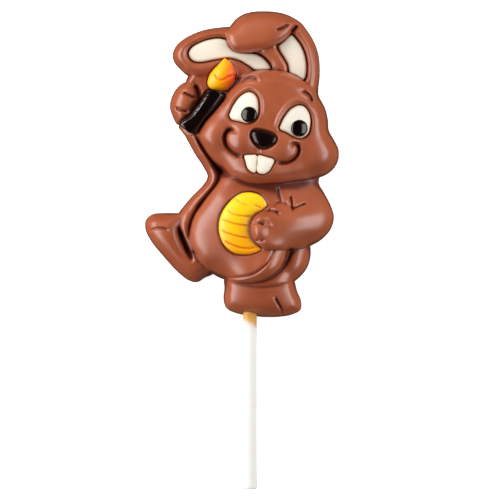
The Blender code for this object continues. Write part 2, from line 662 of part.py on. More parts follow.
def prism(outline, low, high, spacing, top_height=None):
    """Closed solid over an outline: flat underside, and a top that is flat or follows top_height."""
    corners, faces = triangulated(outline, spacing)
    count = len(corners)
    top = np.full(count, high) if top_height is None else top_height(corners[:, 0], corners[:, 1])
    bottom = np.full(count, low)
    points = np.concatenate([np.column_stack([corners, top]), np.column_stack([corners, bottom])])
    sides = {(a, b) for face in faces for a, b in zip(face, face[1:] + face[:1])}
    walls = [(b, a, a + count, b + count) for a, b in sorted(sides) if (b, a) not in sides]
    under = [tuple(count + i for i in reversed(face)) for face in faces]
    work = bmesh.new()
    made = [work.verts.new(p * MM) for p in points]
    for face in faces + under + walls:
        work.faces.new([made[i] for i in face])
    bmesh.ops.recalc_face_normals(work, faces=work.faces)
    mesh = bpy.data.meshes.new("prism")
    work.to_mesh(mesh)
    work.free()
    return mesh


def smooth_shading(mesh, angle):
    mesh.shade_smooth()
    mesh.set_sharp_from_angle(angle=math.radians(angle))


def cut(target, cutters):
    for cutter in cutters:
        modifier = target.modifiers.new("cut " + cutter.name, "BOOLEAN")
        modifier.operation = "DIFFERENCE"
        modifier.solver = "EXACT"
        modifier.object = cutter


def cutter_from(name, mesh):
    obj = add_object(name, mesh)
    obj.hide_render = True
    obj.display_type = "WIRE"
    return obj


def rod(name, radius, low_y, high_y, chamfer):
    """Round rod along Y at the height of the stick's axis, with bevelled ends."""
    ends = (low_y, radius - chamfer), (high_y, radius - chamfer)
    rings = [ends[0], (low_y + chamfer, radius), (high_y - chamfer, radius), ends[1]]
    turns = [2 * math.pi * i / STICK_SIDES for i in range(STICK_SIDES)]
    work = bmesh.new()
    loops = []
    for y, ring_radius in rings:
        circle = [(ring_radius * math.cos(t), y, STICK_AXIS_Z + ring_radius * math.sin(t)) for t in turns]
        loops.append([work.verts.new(Vector(point) * MM) for point in circle])
    for first, second in zip(loops, loops[1:]):
        for i in range(STICK_SIDES):
            j = (i + 1) % STICK_SIDES
            work.faces.new((first[i], first[j], second[j], second[i]))
    work.faces.new(loops[0])
    work.faces.new(loops[-1])
    bmesh.ops.recalc_face_normals(work, faces=work.faces)
    mesh = bpy.data.meshes.new(name)
    work.to_mesh(mesh)
    work.free()
    return mesh


# Parts


def inlay_floor(outline, plane, thickness):
    return on_plane(plane, *outline.T).min() - thickness


def make_body(finish):
    x, y = grid()
    height, planes = body_height(x, y)
    sheet = thinned(mesh_from("sheet", *height_sheet(x, y, height)), BODY_TRIANGLES)
    close_at_back(sheet)
    body = add_object("chocolate_body", sheet, finish)
    smooth_shading(body.data, SHARP_ANGLE)
    pockets = []
    for name, (points, thickness, *_) in INLAYS.items():
        outline = smooth_curve(points)
        floor = inlay_floor(outline, planes[name], thickness)
        pocket = prism(shifted_outline(outline, CLEARANCE), floor - CLEARANCE, POCKET_TOP, POCKET_SPACING)
        pockets.append(cutter_from("pocket_" + name, pocket))
    socket = rod("socket", STICK_RADIUS + CLEARANCE, SOCKET_OPEN_Y, STICK_TOP_Y + CLEARANCE, STICK_CHAMFER)
    cut(body, pockets + [cutter_from("socket", socket)])
    return planes


def add_inlay(name, outline, plane, thickness, rise, finish):
    def top(x, y):
        return inlay_height(name, x, y, outline, plane, rise)

    floor = inlay_floor(outline, plane, thickness)
    obj = add_object(name, prism(outline, floor, None, INLAY_SPACING, top), finish)
    smooth_shading(obj.data, SHARP_ANGLE)
    return floor


def make_inlays(planes, finishes):
    for name, (points, thickness, _, rise, _, _) in INLAYS.items():
        add_inlay(name, smooth_curve(points), planes[name], thickness, rise, finishes[INLAY_FINISHES[name]])
    for name, (white, centre, radius) in PUPILS.items():
        plane = planes[white] + [0, 0, PUPIL_LIFT]
        disc = disc_outline(centre, radius)
        floor = add_inlay(name, disc, plane, PUPIL_THICKNESS, PUPIL_RISE, finishes["dark"])
        wide = disc_outline(centre, radius + CLEARANCE)
        hole = prism(wide, floor - CLEARANCE, POCKET_TOP, POCKET_SPACING)
        cut(bpy.data.objects[white], [cutter_from("pocket_" + name, hole)])


def make_stick(finish):
    stick = add_object("stick", rod("stick", STICK_RADIUS, STICK_END_Y, STICK_TOP_Y, STICK_CHAMFER), finish)
    smooth_shading(stick.data, SHARP_ANGLE)


def main():
    for obj in list(bpy.data.objects):
        bpy.data.objects.remove(obj)
    finishes = {
        "milk": material("milk_chocolate", *MILK_CHOCOLATE),
        "white": material("white_chocolate", *WHITE_CHOCOLATE),
        "dark": material("dark_chocolate", *DARK_CHOCOLATE),
        "yellow": material("yellow_chocolate", *YELLOW_CHOCOLATE),
        "orange": material("orange_chocolate", *ORANGE_CHOCOLATE),
        "paper": material("paper", *PAPER),
    }
    planes = make_body(finishes["milk"])
    make_inlays(planes, finishes)
    make_stick(finishes["paper"])


main()
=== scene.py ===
import json
import math

import bmesh
import bpy
import numpy as np
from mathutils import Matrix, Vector
from mathutils.geometry import delaunay_2d_cdt

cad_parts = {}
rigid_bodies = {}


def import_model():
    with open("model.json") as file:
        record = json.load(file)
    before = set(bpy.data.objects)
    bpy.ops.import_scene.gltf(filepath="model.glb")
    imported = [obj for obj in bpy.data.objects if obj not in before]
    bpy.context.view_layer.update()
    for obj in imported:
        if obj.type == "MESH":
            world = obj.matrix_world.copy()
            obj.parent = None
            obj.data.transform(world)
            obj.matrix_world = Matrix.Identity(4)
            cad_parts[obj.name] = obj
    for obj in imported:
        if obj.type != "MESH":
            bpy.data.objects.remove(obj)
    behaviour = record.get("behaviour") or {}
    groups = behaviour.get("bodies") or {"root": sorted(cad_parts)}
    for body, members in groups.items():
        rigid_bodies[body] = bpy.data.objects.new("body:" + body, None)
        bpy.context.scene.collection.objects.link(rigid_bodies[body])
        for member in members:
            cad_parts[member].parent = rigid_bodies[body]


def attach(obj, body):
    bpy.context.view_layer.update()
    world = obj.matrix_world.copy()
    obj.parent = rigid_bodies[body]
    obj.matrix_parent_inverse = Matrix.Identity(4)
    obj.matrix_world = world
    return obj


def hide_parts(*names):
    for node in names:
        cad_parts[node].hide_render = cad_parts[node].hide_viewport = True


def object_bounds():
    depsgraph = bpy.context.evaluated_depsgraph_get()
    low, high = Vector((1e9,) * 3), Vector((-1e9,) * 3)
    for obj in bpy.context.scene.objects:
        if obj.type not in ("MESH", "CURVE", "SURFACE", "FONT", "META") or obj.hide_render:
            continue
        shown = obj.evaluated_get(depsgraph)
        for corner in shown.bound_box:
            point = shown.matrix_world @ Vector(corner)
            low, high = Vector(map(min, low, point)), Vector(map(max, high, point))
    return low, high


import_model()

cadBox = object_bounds()

# Chocolate lollipop, lying on its flat back with the moulded side up.
# Shapes are worked out in millimetres in the frame's own axes and turned into metres when a mesh is made.
mm = 0.001

relief = {
    "pitch": 0.21,  # cell of the moulded surface
    "lowX": -35, "highX": 30, "lowY": -23, "highY": 77,
    "curveStep": 0.4,  # how finely outlines and grooves are rounded
    "softness": 2,  # the larger, the more gently a swelling starts at its outline
    "edgeSlope": 4,  # how steeply a form falls outside its outline
    "taper": 0.12,  # share of a groove's length over which it runs out
    "endDepth": 0.3,
    "seamWidth": 0.3,  # gap between the milk chocolate and a separate piece
    "seamSlope": 0.35,
    "seamDepth": 1.0,
    "puffEdge": 2,  # how far inside its outline a soft bump has its full rise
    "floorFrom": 0.1, "floorTo": 0.5,  # how far inside a casting the floor under it starts and is level
    "floorGap": 0.1,
    "skirt": -15,
    "farBelow": -1000,
}


# node trees, for materials and for the stick

def operator(operation, swapped=False):
    def applied(wire, other):
        return wire.graph.maths(operation, *((other, wire) if swapped else (wire, other)))
    return applied


class Wire:
    # a socket that can be added, multiplied and so on
    def __init__(self, graph, socket):
        self.graph = graph
        self.socket = socket

    __add__ = __radd__ = operator("ADD")
    __mul__ = __rmul__ = operator("MULTIPLY")
    __sub__, __rsub__ = operator("SUBTRACT"), operator("SUBTRACT", True)
    __truediv__, __rtruediv__ = operator("DIVIDE"), operator("DIVIDE", True)
    __pow__ = operator("POWER")


class Graph:
    # a node tree that is written as expressions
    def __init__(self, tree):
        self.tree = tree

    def node(self, kind, settings=None, inputs=None, output=0):
        made = self.tree.nodes.new(kind)
        for name, value in (settings or {}).items():
            if name == "stops":
                for i, (place, colour) in enumerate(value):
                    stop = made.color_ramp.elements[i] if i < 2 else made.color_ramp.elements.new(place)
                    stop.position = place
                    stop.color = (*colour, 1)
            else:
                setattr(made, name, value)
        for name, value in (inputs or {}).items():
            if isinstance(value, Wire):
                self.tree.links.new(value.socket, made.inputs[name])
            else:
                made.inputs[name].default_value = value
        return Wire(self, made.outputs[output]) if made.outputs else None

    def maths(self, operation, *values):
        return self.node("ShaderNodeMath", {"operation": operation}, dict(enumerate(values)))

    def between(self, low, high, value):
        # 0 below low, 1 above high, smooth between
        settings = {"interpolation_type": "SMOOTHSTEP"}
        return self.node("ShaderNodeMapRange", settings, {"Value": value, "From Min": low, "From Max": high})

    def blend(self, factor, first, second):
        return self.node("ShaderNodeMix", {"data_type": "RGBA"}, {0: factor, 6: first, 7: second}, 2)

    def split(self, vector):
        return [self.node("ShaderNodeSeparateXYZ", None, {0: vector}, i) for i in range(3)]

    def noise(self, place, size, detail=2, roughness=0.5):
        # size in millimetres
        inputs = {"Vector": place, "Scale": 1 / (size * mm), "Detail": detail, "Roughness": roughness}
        return self.node("ShaderNodeTexNoise", None, inputs)

    def attribute(self, name):
        return self.node("ShaderNodeAttribute", {"attribute_name": name}, None, 2)

    def bump(self, height):
        # height in millimetres
        return self.node("ShaderNodeBump", None, {"Strength": 1, "Distance": mm, "Height": height})

    def castSkin(self, place, size, rise):
        # soft ripples of a cast surface, with its fine grain
        return self.bump(self.noise(place, size, 2, 0.4) * rise + self.noise(place, 0.5, 3, 0.6) * 0.004)


def linearColour(red, green, blue):
    # from the 0 to 255 values seen in a picture
    shares = [value / 255 for value in (red, green, blue)]
    return tuple(((s + 0.055) / 1.055) ** 2.4 if s > 0.04 else s / 12.92 for s in shares)


def finish(name, shades, surface):
    # shades are the constants on the shader's own sockets, surface gives the links from Object coordinates
    made = bpy.data.materials.new(name)
    made.use_nodes = True
    made.node_tree.nodes.clear()
    graph = Graph(made.node_tree)
    place = graph.node("ShaderNodeTexCoord", None, None, 3)
    shader = graph.node("ShaderNodeBsdfPrincipled", None, {**shades, **surface(graph, place)})
    graph.node("ShaderNodeOutputMaterial", None, {"Surface": shader})
    return made


# lines and distances

def smoothCurve(points, closed=True):
    # rounded line through the points
    knots = [np.array(point, float) for point in points]
    if closed:
        padded = [knots[-1]] + knots + knots[:2]
    else:
        padded = [2 * knots[0] - knots[1]] + knots + [2 * knots[-1] - knots[-2]]
    line = []
    for i in range(len(padded) - 3):
        before, start, end, after = padded[i:i + 4]
        legs = start - before, end - start, after - end
        gaps = [math.sqrt(np.linalg.norm(leg)) for leg in legs]
        rates = [leg / gap for leg, gap in zip(legs, gaps)]
        slopeIn = rates[0] - (end - before) / (gaps[0] + gaps[1]) + rates[1]
        slopeOut = rates[1] - (after - start) / (gaps[1] + gaps[2]) + rates[2]
        steps = max(2, round(np.linalg.norm(end - start) / relief["curveStep"]))
        for t in np.arange(steps) / steps:
            line.append(
                (2 * t**3 - 3 * t**2 + 1) * start + (t**3 - 2 * t**2 + t) * slopeIn * gaps[1]
                + (3 * t**2 - 2 * t**3) * end + (t**3 - t**2) * slopeOut * gaps[1]
            )
    if not closed:
        line.append(knots[-1])
    return np.array(line)


def distanceToLine(x, y, line, closed=False):
    # distance to the line, and how far along it the nearest point is, 0 to 1
    ends = np.roll(line, -1, axis=0) if closed else line[1:]
    starts = line if closed else line[:-1]
    lengths = np.linalg.norm(ends - starts, axis=1)
    travelled = np.concatenate([[0], np.cumsum(lengths)])
    nearest = np.full(x.shape, np.inf)
    along = np.zeros(x.shape)
    for (ax, ay), (bx, by), length, before in zip(starts, ends, lengths, travelled):
        if length == 0:
            continue
        dx, dy = (bx - ax) / length, (by - ay) / length
        t = np.clip((x - ax) * dx + (y - ay) * dy, 0, length)
        gap = np.hypot(x - ax - t * dx, y - ay - t * dy)
        closer = gap < nearest
        nearest[closer] = gap[closer]
        along[closer] = before + t[closer]
    return nearest, along / travelled[-1]


def distanceInside(x, y, outline):
    # distance to a closed outline, positive inside it
    distance, _ = distanceToLine(x, y, outline, True)
    inside = np.zeros(x.shape, bool)
    for (ax, ay), (bx, by) in zip(outline, np.roll(outline, -1, axis=0)):
        if ay != by:
            inside ^= ((ay > y) != (by > y)) & (x < (bx - ax) * (y - ay) / (by - ay) + ax)
    return np.where(inside, distance, -distance)


def smoothStep(low, high, value):
    t = np.clip((value - low) / (high - low), 0, 1)
    return t * t * (3 - 2 * t)


def relaxed(field, inside, source, width):
    # settles the field inside by over-relaxed sweeps over a chequered grid
    rows, columns = np.indices(field.shape)
    chequers = [inside & ((rows + columns) % 2 == parity) for parity in (0, 1)]
    widthInCells = 2.2 * width / relief["pitch"] + 2
    overshoot = 2 / (1 + math.sin(math.pi / widthInCells))
    for _ in range(int(2.5 * widthInCells)):
        for chequer in chequers:
            beside = np.zeros(field.shape)
            beside[1:-1, 1:-1] = field[:-2, 1:-1] + field[2:, 1:-1] + field[1:-1, :-2] + field[1:-1, 2:]
            field[chequer] += overshoot * ((beside + source) / 4 - field)[chequer]
    return field


def swelling(distance):
    # height of a skin blown up inside the outline
    field = relaxed(np.zeros(distance.shape), distance > 0, relief["pitch"]**2, distance.max())
    return np.sqrt(2 * field + relief["softness"]**2) - relief["softness"]


def spreadInside(values, distance):
    # carries the values round an outline smoothly over the inside
    inside = distance > 0
    rim = (distance > -1.5 * relief["pitch"]) & ~inside
    return relaxed(np.where(inside, values[rim].mean(), values), inside, 0, distance.max())


def blurred(field, width):
    # spreads each value over a width in millimetres, from cell to cell
    for _ in range(round((width / relief["pitch"])**2 * 2)):
        for axis in (0, 1):
            field = (np.roll(field, 1, axis) + 2 * field + np.roll(field, -1, axis)) / 4
    return field


# the grid that the moulded surface is worked out on

def gridAxes():
    x = np.arange(relief["lowX"], relief["highX"], relief["pitch"])
    y = np.arange(relief["lowY"], relief["highY"], relief["pitch"])
    return np.meshgrid(x, y)


def windowAround(points, reach):
    # the part of the grid that holds the points and their surroundings
    low, high = points.min(axis=0) - reach, points.max(axis=0) + reach
    cell = relief["pitch"]
    columns = slice(max(0, int((low[0] - relief["lowX"]) / cell)), int((high[0] - relief["lowX"]) / cell) + 2)
    rows = slice(max(0, int((low[1] - relief["lowY"]) / cell)), int((high[1] - relief["lowY"]) / cell) + 2)
    return rows, columns


def sampled(field, x, y):
    # value of a grid field between its cells
    column = np.clip((x - relief["lowX"]) / relief["pitch"], 0, field.shape[1] - 1.001)
    row = np.clip((y - relief["lowY"]) / relief["pitch"], 0, field.shape[0] - 1.001)
    i, j = column.astype(int), row.astype(int)
    u, v = column - i, row - j
    low = field[j, i] * (1 - u) + field[j, i + 1] * u
    high = field[j + 1, i] * (1 - u) + field[j + 1, i + 1] * u
    return low * (1 - v) + high * v


def meshFrom(name, points, faces, attributes=None):
    mesh = bpy.data.meshes.new(name)
    mesh.from_pydata([tuple(point) for point in np.asarray(points) * mm], [], faces)
    for key, values in (attributes or {}).items():
        mesh.attributes.new(key, "FLOAT", "POINT").data.foreach_set("value", np.asarray(values, np.float32))
    mesh.update()
    return mesh


def smoothed(mesh, sharpAngle, weld=0):
    # every face turned outwards, and shaded smooth except over sharp edges
    work = bmesh.new()
    work.from_mesh(mesh)
    if weld:
        bmesh.ops.remove_doubles(work, verts=work.verts, dist=weld)
    bmesh.ops.recalc_face_normals(work, faces=work.faces)
    work.to_mesh(mesh)
    work.free()
    mesh.shade_smooth()
    mesh.set_sharp_from_angle(angle=math.radians(sharpAngle))
    return mesh


def addPiece(name, mesh, finish, node):
    piece = bpy.data.objects.new(name, mesh)
    bpy.context.scene.collection.objects.link(piece)
    mesh.materials.clear()
    mesh.materials.append(finish)
    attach(piece, "root")
    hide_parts(node)
    return piece


# milk chocolate rabbit: rounded pads inside smooth outlines, of which the highest shows
# wall is the height where the edge stands on the bare back, rounding how far in it is rounded, lift how far
# it stands above what it lies on, pad how far in that step is rounded, gain how much the middle swells, and
# fade the levels between which the step dies out
forms = {
    "web": {
        "wall": 4.4, "rounding": 2.5, "gain": 0, "lift": 0, "pad": 1,
        "outline": [
            (-19.6, 54.2), (-12, 60), (-2, 60), (4, 57), (2, 50), (-8, 42), (-10, 28), (-8, 20),
            (-16, 10), (-14, 0), (-12, -6.4), (-17, -7.5), (-23, -3), (-27, 4), (-24, 9.5), (-20, 11.5),
            (-12.5, 22), (-15, 30), (-20, 40),
        ],
    },
    "leftEar": {
        "wall": 4.4, "rounding": 3.4, "gain": 0.1, "lift": 1.6, "pad": 2.6,
        "outline": [
            (-19.4, 54.6), (-21.7, 56.5), (-23.7, 58.8), (-24.25, 61.2), (-23.3, 63.8), (-21, 66),
            (-17.7, 67.8), (-14.3, 69), (-9.3, 69.8), (-4, 69.9), (3, 67.5), (8, 62.5), (9, 57),
            (6, 53.5), (-2, 53), (-9, 54.2), (-15, 54.4),
        ],
    },
    "rightEar": {
        "wall": 4.4, "rounding": 3.4, "gain": 0.1, "lift": 1.4, "pad": 2.2,
        "outline": [
            (3.4, 62.2), (6.6, 58.5), (7.2, 54.5), (12, 52), (17, 49.5), (21, 48.5), (21.5, 51.3),
            (21.87, 55), (21.7, 59.7), (21, 63), (19.7, 66), (17.8, 69), (15.7, 71.5), (13, 72.5),
            (7, 69), (3.6, 65.5),
        ],
    },
    "earFold": {
        "wall": 3, "rounding": 4.5, "gain": 0.6, "lift": 2, "pad": 3,
        "outline": [
            (-7.4, 67.3), (-6.9, 69.2), (-5.6, 71), (-4.2, 72.6), (-1.9, 74), (1.7, 74.8), (6.7, 74.8),
            (11, 74), (14.2, 72.5), (15.8, 71.2), (14.6, 70.1), (12.6, 67.6), (10.2, 65.3), (6.5, 63.4),
            (2, 62), (-1.5, 61.7), (-4.8, 62.2), (-6.9, 64.5),
        ],
    },
    "raisedArm": {
        "wall": 3.4, "rounding": 4.5, "gain": 0.6, "lift": 1.2, "pad": 2.5,
        "outline": [
            (-22.5, 39.2), (-20.3, 35.6), (-17, 29.7), (-14.5, 25.9), (-13.3, 23), (-14.6, 20.5),
            (-18, 17), (-20.4, 14.2), (-22.6, 11), (-22.3, 6.5), (-20.8, 2), (-19.1, -1.4), (-17.6, -2.2),
            (-16.5, 0), (-16.8, 4.5), (-15.8, 9.5), (-13.6, 14.8), (-9.9, 19.6), (-8.7, 23.5),
            (-10.6, 27.5), (-13.8, 32.5), (-15.6, 37), (-17.5, 40.5),
        ],
    },
    "leftFoot": {
        "wall": 3, "rounding": 5.5, "gain": 0.7, "lift": 1.2, "pad": 3,
        "outline": [
            (-23.3, 11.6), (-27, 11.6), (-30.6, 11.2), (-32.7, 9.3), (-32.8, 6.5), (-31, 2.8),
            (-27.3, -1.8), (-22.7, -6.8), (-19.3, -9.5), (-16.6, -10.1), (-14.2, -8.7), (-11.5, -7.4),
            (-10.5, -4), (-14, -1), (-17.5, -1), (-19.2, -0.8), (-21.2, 2.8), (-22.2, 6.2), (-21.6, 9),
            (-21.4, 11.4),
        ],
    },
    "hip": {
        "wall": 3, "rounding": 4.5, "gain": 0.7, "lift": 0.8, "pad": 2,
        "outline": [
            (18.8, 2), (19, -1.5), (18, -5.4), (15.7, -8.4), (12.5, -10.6), (7, -11.4), (0, -11.6),
            (-6, -10.4), (-6, -8), (0, -6), (5, -2), (8, 4), (14, 7), (18, 6),
        ],
    },
    "footBlock": {
        "wall": 4, "rounding": 3.4, "gain": 0.85, "lift": 0.6, "pad": 3,
        "outline": [
            (-8.1, -9.3), (-8, -11.8), (-8.3, -15.4), (-7.4, -18.2), (-4, -19.9), (2, -20.8), (8, -21),
            (12.6, -20.4), (15.8, -18.8), (16, -16), (14.8, -13), (14.1, -10.2), (13, -6), (3, -3),
            (-6, -5),
        ],
    },
    "belly": {
        "wall": 3, "rounding": 6.5, "gain": 0.56, "lift": 1.6, "pad": 4.5,
        "outline": [
            (-9.2, 24), (-10.3, 20.8), (-14.3, 15.7), (-17.6, 10.8), (-18.9, 5.5), (-17.9, 0.4),
            (-14.9, -4.6), (-10.5, -8.2), (-5, -10), (0, -10.3), (5, -9.3), (9.6, -6), (12, -1),
            (14.5, 6), (16.5, 14), (16, 20.6), (14, 26), (4, 27.5), (-6, 26.5),
        ],
    },
    "rightArm": {
        "wall": 3, "rounding": 5, "gain": 0.5, "lift": 1.6, "pad": 3, "fade": (24, 9),
        "outline": [
            (0.1, 6.5), (0.7, 4), (2.3, 1.8), (4.6, 0.3), (9, -0.1), (15, 0.2), (19.2, 1.4),
            (22.7, 3.5), (25.4, 6.7), (26.3, 10.4), (25.2, 14.2), (23.2, 18), (21.6, 21), (21.8, 25),
            (15, 28), (9, 26), (8.2, 19.5), (9, 15.2), (7.2, 13.4), (4.4, 12.4), (1.9, 10.9),
            (0.5, 8.9),
        ],
    },
    "raisedHand": {
        "wall": 3, "rounding": 4.5, "gain": 0.8, "lift": 1.6, "pad": 3,
        "outline": [
            (-19.2, 52.7), (-21.8, 51.8), (-24.1, 48.9), (-25.1, 45.2), (-24.3, 42), (-22.6, 39.2),
            (-20.2, 39.6), (-18.2, 42.7), (-16.6, 45.6), (-16.4, 48.2), (-17.4, 51.2),
        ],
    },
    "head": {
        "wall": 3.4, "rounding": 6, "gain": 0.36, "lift": 3.6, "pad": 5,
        "outline": [
            (1.7, 56), (6.7, 56.3), (11, 55.8), (15, 54.1), (18.2, 51.8), (20.9, 50), (21.8, 47.7),
            (23.4, 44.8), (24.4, 41), (24.7, 37.6), (26.3, 34.6), (27.7, 31.7), (27.8, 28.7),
            (26.3, 25.6), (23.5, 23.4), (19, 22.1), (13, 21.1), (6, 20.5), (0, 20.7), (-4, 22.2),
            (-8.5, 24.4), (-11.6, 27.5), (-14.6, 31.7), (-16.6, 35.6), (-15.2, 39.6), (-11.6, 44.1),
            (-8, 48.3), (-4.6, 52), (-1.6, 54.6),
        ],
    },
}

# soft bumps: centre x and y, half-widths, rise
puffs = {name: {} for name in forms}
puffs["raisedArm"] = {
    "knee": (-20.5, 8.5, 3, 5, 0.5),
}
puffs["belly"] = {
    "neck": (4.5, 18.8, 15, 6, -2.2),
    "lowerRight": (6.8, -5, 6.5, 6, 1.1),
}
puffs["rightArm"] = {
    "elbow": (16, 7.8, 11, 8, 1.7),
    "fingerHigh": (3, 10.2, 3.6, 2.4, 0.9),
    "fingerMiddle": (2.6, 5.7, 3.6, 3, 0.9),
    "thumb": (6.8, 13, 3, 2, 0.6),
}
puffs["hip"] = {
    "crest": (14.8, -5, 4.2, 6, 1.1),
}
puffs["head"] = {
    "leftCheek": (-11.8, 36, 6, 7, 1.1),
    "leftMuzzle": (-3, 34, 6, 6.2, 2.1),
    "rightMuzzle": (10.2, 31.6, 7, 6, 1.5),
    "rightCheek": (21.5, 30, 6.5, 7, 0.8),
    "chin": (4.5, 24, 9, 4.5, 0.6),
    "rightEyeSide": (21.6, 41, 3, 7, 0.5),
}

# grooves: depth, half-width, points
grooves = {
    "armAndCheek": (1.2, 0.5, [(-16.6, 35.6), (-14.7, 31.8), (-12, 28), (-9.9, 25.4)]),
    "armAndBelly": (0.9, 0.5, [
        (-9.3, 24.4), (-9.7, 22), (-12, 18.7), (-14.8, 15.2), (-17.2, 11.5), (-18.8, 7.3), (-19, 4),
    ]),
    "chin": (0.35, 0.9, [
        (-9.2, 24.9), (-6, 23), (-1.8, 20.9), (3, 20.2), (8, 20.2),
    ]),
    "footAndThigh": (2.4, 0.6, [(-22.2, 6.4), (-21.2, 4), (-20.2, 1.6), (-19.2, -0.8), (-18.2, -3.2)]),
    "toeFold": (0.8, 0.38, [(-31, 5.9), (-30, 6.5), (-28.3, 6.8), (-26.6, 6.6), (-25.5, 6.2)]),
    "bellyPatch": (0.8, 0.4, [
        (7.4, 0), (6.2, -2.9), (4, -5.5), (1, -7.5), (-3, -8.6), (-7, -8.5), (-10.5, -7.4),
        (-12.2, -6.3),
    ]),
    "bellyRim": (0.7, 0.7, [(12.4, 0), (11.8, -3), (8.8, -6.9), (5, -9.5), (0, -10.5), (-5.5, -9.8)]),
    "legAndFoot": (0.35, 0.5, [(-6, -10.6), (0, -11.3), (6, -11.4), (12.5, -10.3)]),
    "blockToe": (1.1, 0.42, [(7.8, -14.9), (8.8, -16.5), (9.7, -18.2), (10.4, -20.4)]),
    "smileLeft": (2.2, 0.75, [
        (-4.6, 37), (-5.8, 37.4), (-7, 37), (-7.8, 35.4), (-7.7, 33.6), (-6.7, 31.7), (-4.7, 30),
        (-2.1, 29),
    ]),
    "smileRight": (1.9, 0.65, [
        (7.9, 27.5), (10, 27.1), (12.5, 27.6), (14.5, 29.2), (15.2, 31.2), (14.6, 32.8), (13.5, 33.1),
        (12.9, 32.4),
    ]),
    "lipSplit": (0.5, 0.35, [(2.7, 31.9), (3, 30.2)]),
    "leftBrow": (1.5, 0.55, [(-2.8, 52.3), (-1, 53.4), (0.8, 53.8), (2.2, 53)]),
    "rightBrow": (1.3, 0.5, [(16.2, 49.6), (17.8, 48.8), (18.9, 47.6), (19.5, 46.1)]),
    "handFingersHigh": (1.4, 0.45, [(-20.8, 49.3), (-19, 48.3), (-17.2, 47.3)]),
    "handFingersLow": (1.4, 0.45, [(-23.2, 44.4), (-21.5, 43.7), (-19.3, 43.2)]),
    "eggFingersHigh": (0.9, 0.4, [(0.6, 8.4), (3, 8.3), (4.6, 7.9)]),
    "eggFingersLow": (0.9, 0.4, [(2, 3.1), (4.4, 2.9)]),
    "thumb": (1.1, 0.42, [(4.6, 11.9), (6.2, 12.2), (8.2, 11.7), (9.2, 11.1)]),
    "chestFold": (0.8, 0.36, [(8.7, 19.6), (9.2, 17), (9.9, 15)]),
    "armFold": (0.8, 0.5, [(8.4, 14.9), (10.4, 14.7), (12, 14), (13.2, 12.9)]),
    "elbowFoldHigh": (1.2, 0.36, [(12.6, 17), (13, 14.9), (13.3, 12)]),
    "elbowFoldLow": (1.2, 0.36, [(13.3, 12.8), (15, 13.5), (17.4, 14.6)]),
    "earCrease": (1.1, 0.45, [(8.2, 68.6), (10, 69.2), (12, 70.4)]),
    "earRimCrease": (0.25, 0.5, [(16.6, 68.4), (18.6, 65), (19.7, 61), (20, 57), (19.8, 53), (19.4, 51)]),
    "earFoldNotch": (2, 0.6, [(12.9, 68), (14.8, 70.2)]),
    "eyeCorner": (0.8, 0.45, [(19.1, 41), (18.9, 38), (18.2, 35.6), (16, 34.4)]),
    "handGap": (1.7, 0.9, [(-17.4, 51.8), (-16.2, 49), (-15.9, 46.6), (-17.3, 44.2)]),
}

# ridges: height, half-width, points
ridges = {
    "leftEyeLid": (0.5, 0.5, [
        (-6.8, 45.4), (-4.8, 48.2), (-2.2, 50.2), (0.4, 50.8), (2.5, 49.4), (3.6, 46.6), (3.7, 43.6),
        (3.1, 41),
    ]),
    "rightEyeLid": (0.5, 0.55, [
        (8, 37.6), (8.5, 40.2), (10, 43.2), (12.4, 45.8), (15, 46.8), (17.6, 46), (19.4, 43.6),
    ]),
    "leftBrow": (0.9, 0.5, [(-2.6, 53.6), (-0.8, 54.7), (0.9, 55), (2.3, 54.5), (3.2, 53.2)]),
    "rightBrow": (0.7, 0.5, [(17.2, 50.2), (18.6, 49.2), (19.7, 47.8), (20.2, 46.2)]),
    "earFoldCrease": (0.8, 0.5, [(8.2, 69.3), (9.6, 70.1), (11.3, 71.3)]),
    "legCrease": (0.12, 0.35, [(2, -12.9), (7, -12.8), (11.8, -12)]),
    "toe": (0.35, 0.45, [(7, -15), (7.9, -16.6), (8.8, -18.4), (9.4, -20)]),
    "toeFold": (0.25, 0.35, [(-30.2, 7.4), (-28.3, 7.6), (-26.4, 7.4), (-25.2, 6.9)]),
    "knuckleHigh": (0.5, 0.6, [(5, 8.9), (6, 8.3), (6.4, 7.3)]),
    "thumb": (0.9, 0.5, [(5.2, 13), (6.8, 13.2), (8.8, 12.5)]),
    "lipCorner": (0.3, 0.45, [(11.7, 32.6), (12.4, 33.7), (13.8, 34), (15, 33.4)]),
    "elbowLeft": (0.4, 0.4, [(11.8, 16), (12.1, 14.5), (12.4, 13)]),
    "elbowRight": (0.35, 0.4, [(13.7, 16.4), (14, 15), (14.6, 14.2)]),
}

chocolate = {
    # the first tone is painted shade, which hollows and the ground under overhangs are darkened towards; the
    # other two are the chocolate's own tones
    "shadeTone": linearColour(100, 32, 8),
    "tone": linearColour(172, 88, 53),
    "warmTone": linearColour(162, 77, 44),
    # how far below its near and its wider surroundings, in millimetres, the painted shade is deepest
    "hollowReach": 0.8, "broadReach": 0.9, "broadShare": 0.8,
    # how wide those surroundings are, and how far below the wider ones the painted shade starts
    "hollowWidth": 0.9, "broadWidth": 2.6, "broadStart": 0.2,
    "mottle": 9.0,
    "ripple": 5.0,
    "rippleHeight": 0.05,
    "grain": 0.45,
    "grainHeight": 0.004,
    "rough": 0.35, "grainRough": 0.08, "hollowRough": 0.06,
    "coat": 0.38,
}


# the order in which forms and castings lie on each other
layers = (
    "web", "leftEar", "earInnerLeft", "rightEar", "earInnerRight", "earFold", "raisedArm", "leftFoot",
    "footBlock", "hip", "belly", "yellowEgg", "rightArm", "raisedHand", "head", "eyeWhiteLeft",
    "eyeWhiteRight", "darkNose", "toothLeft", "toothRight", "brushHandle", "brushTip",
)


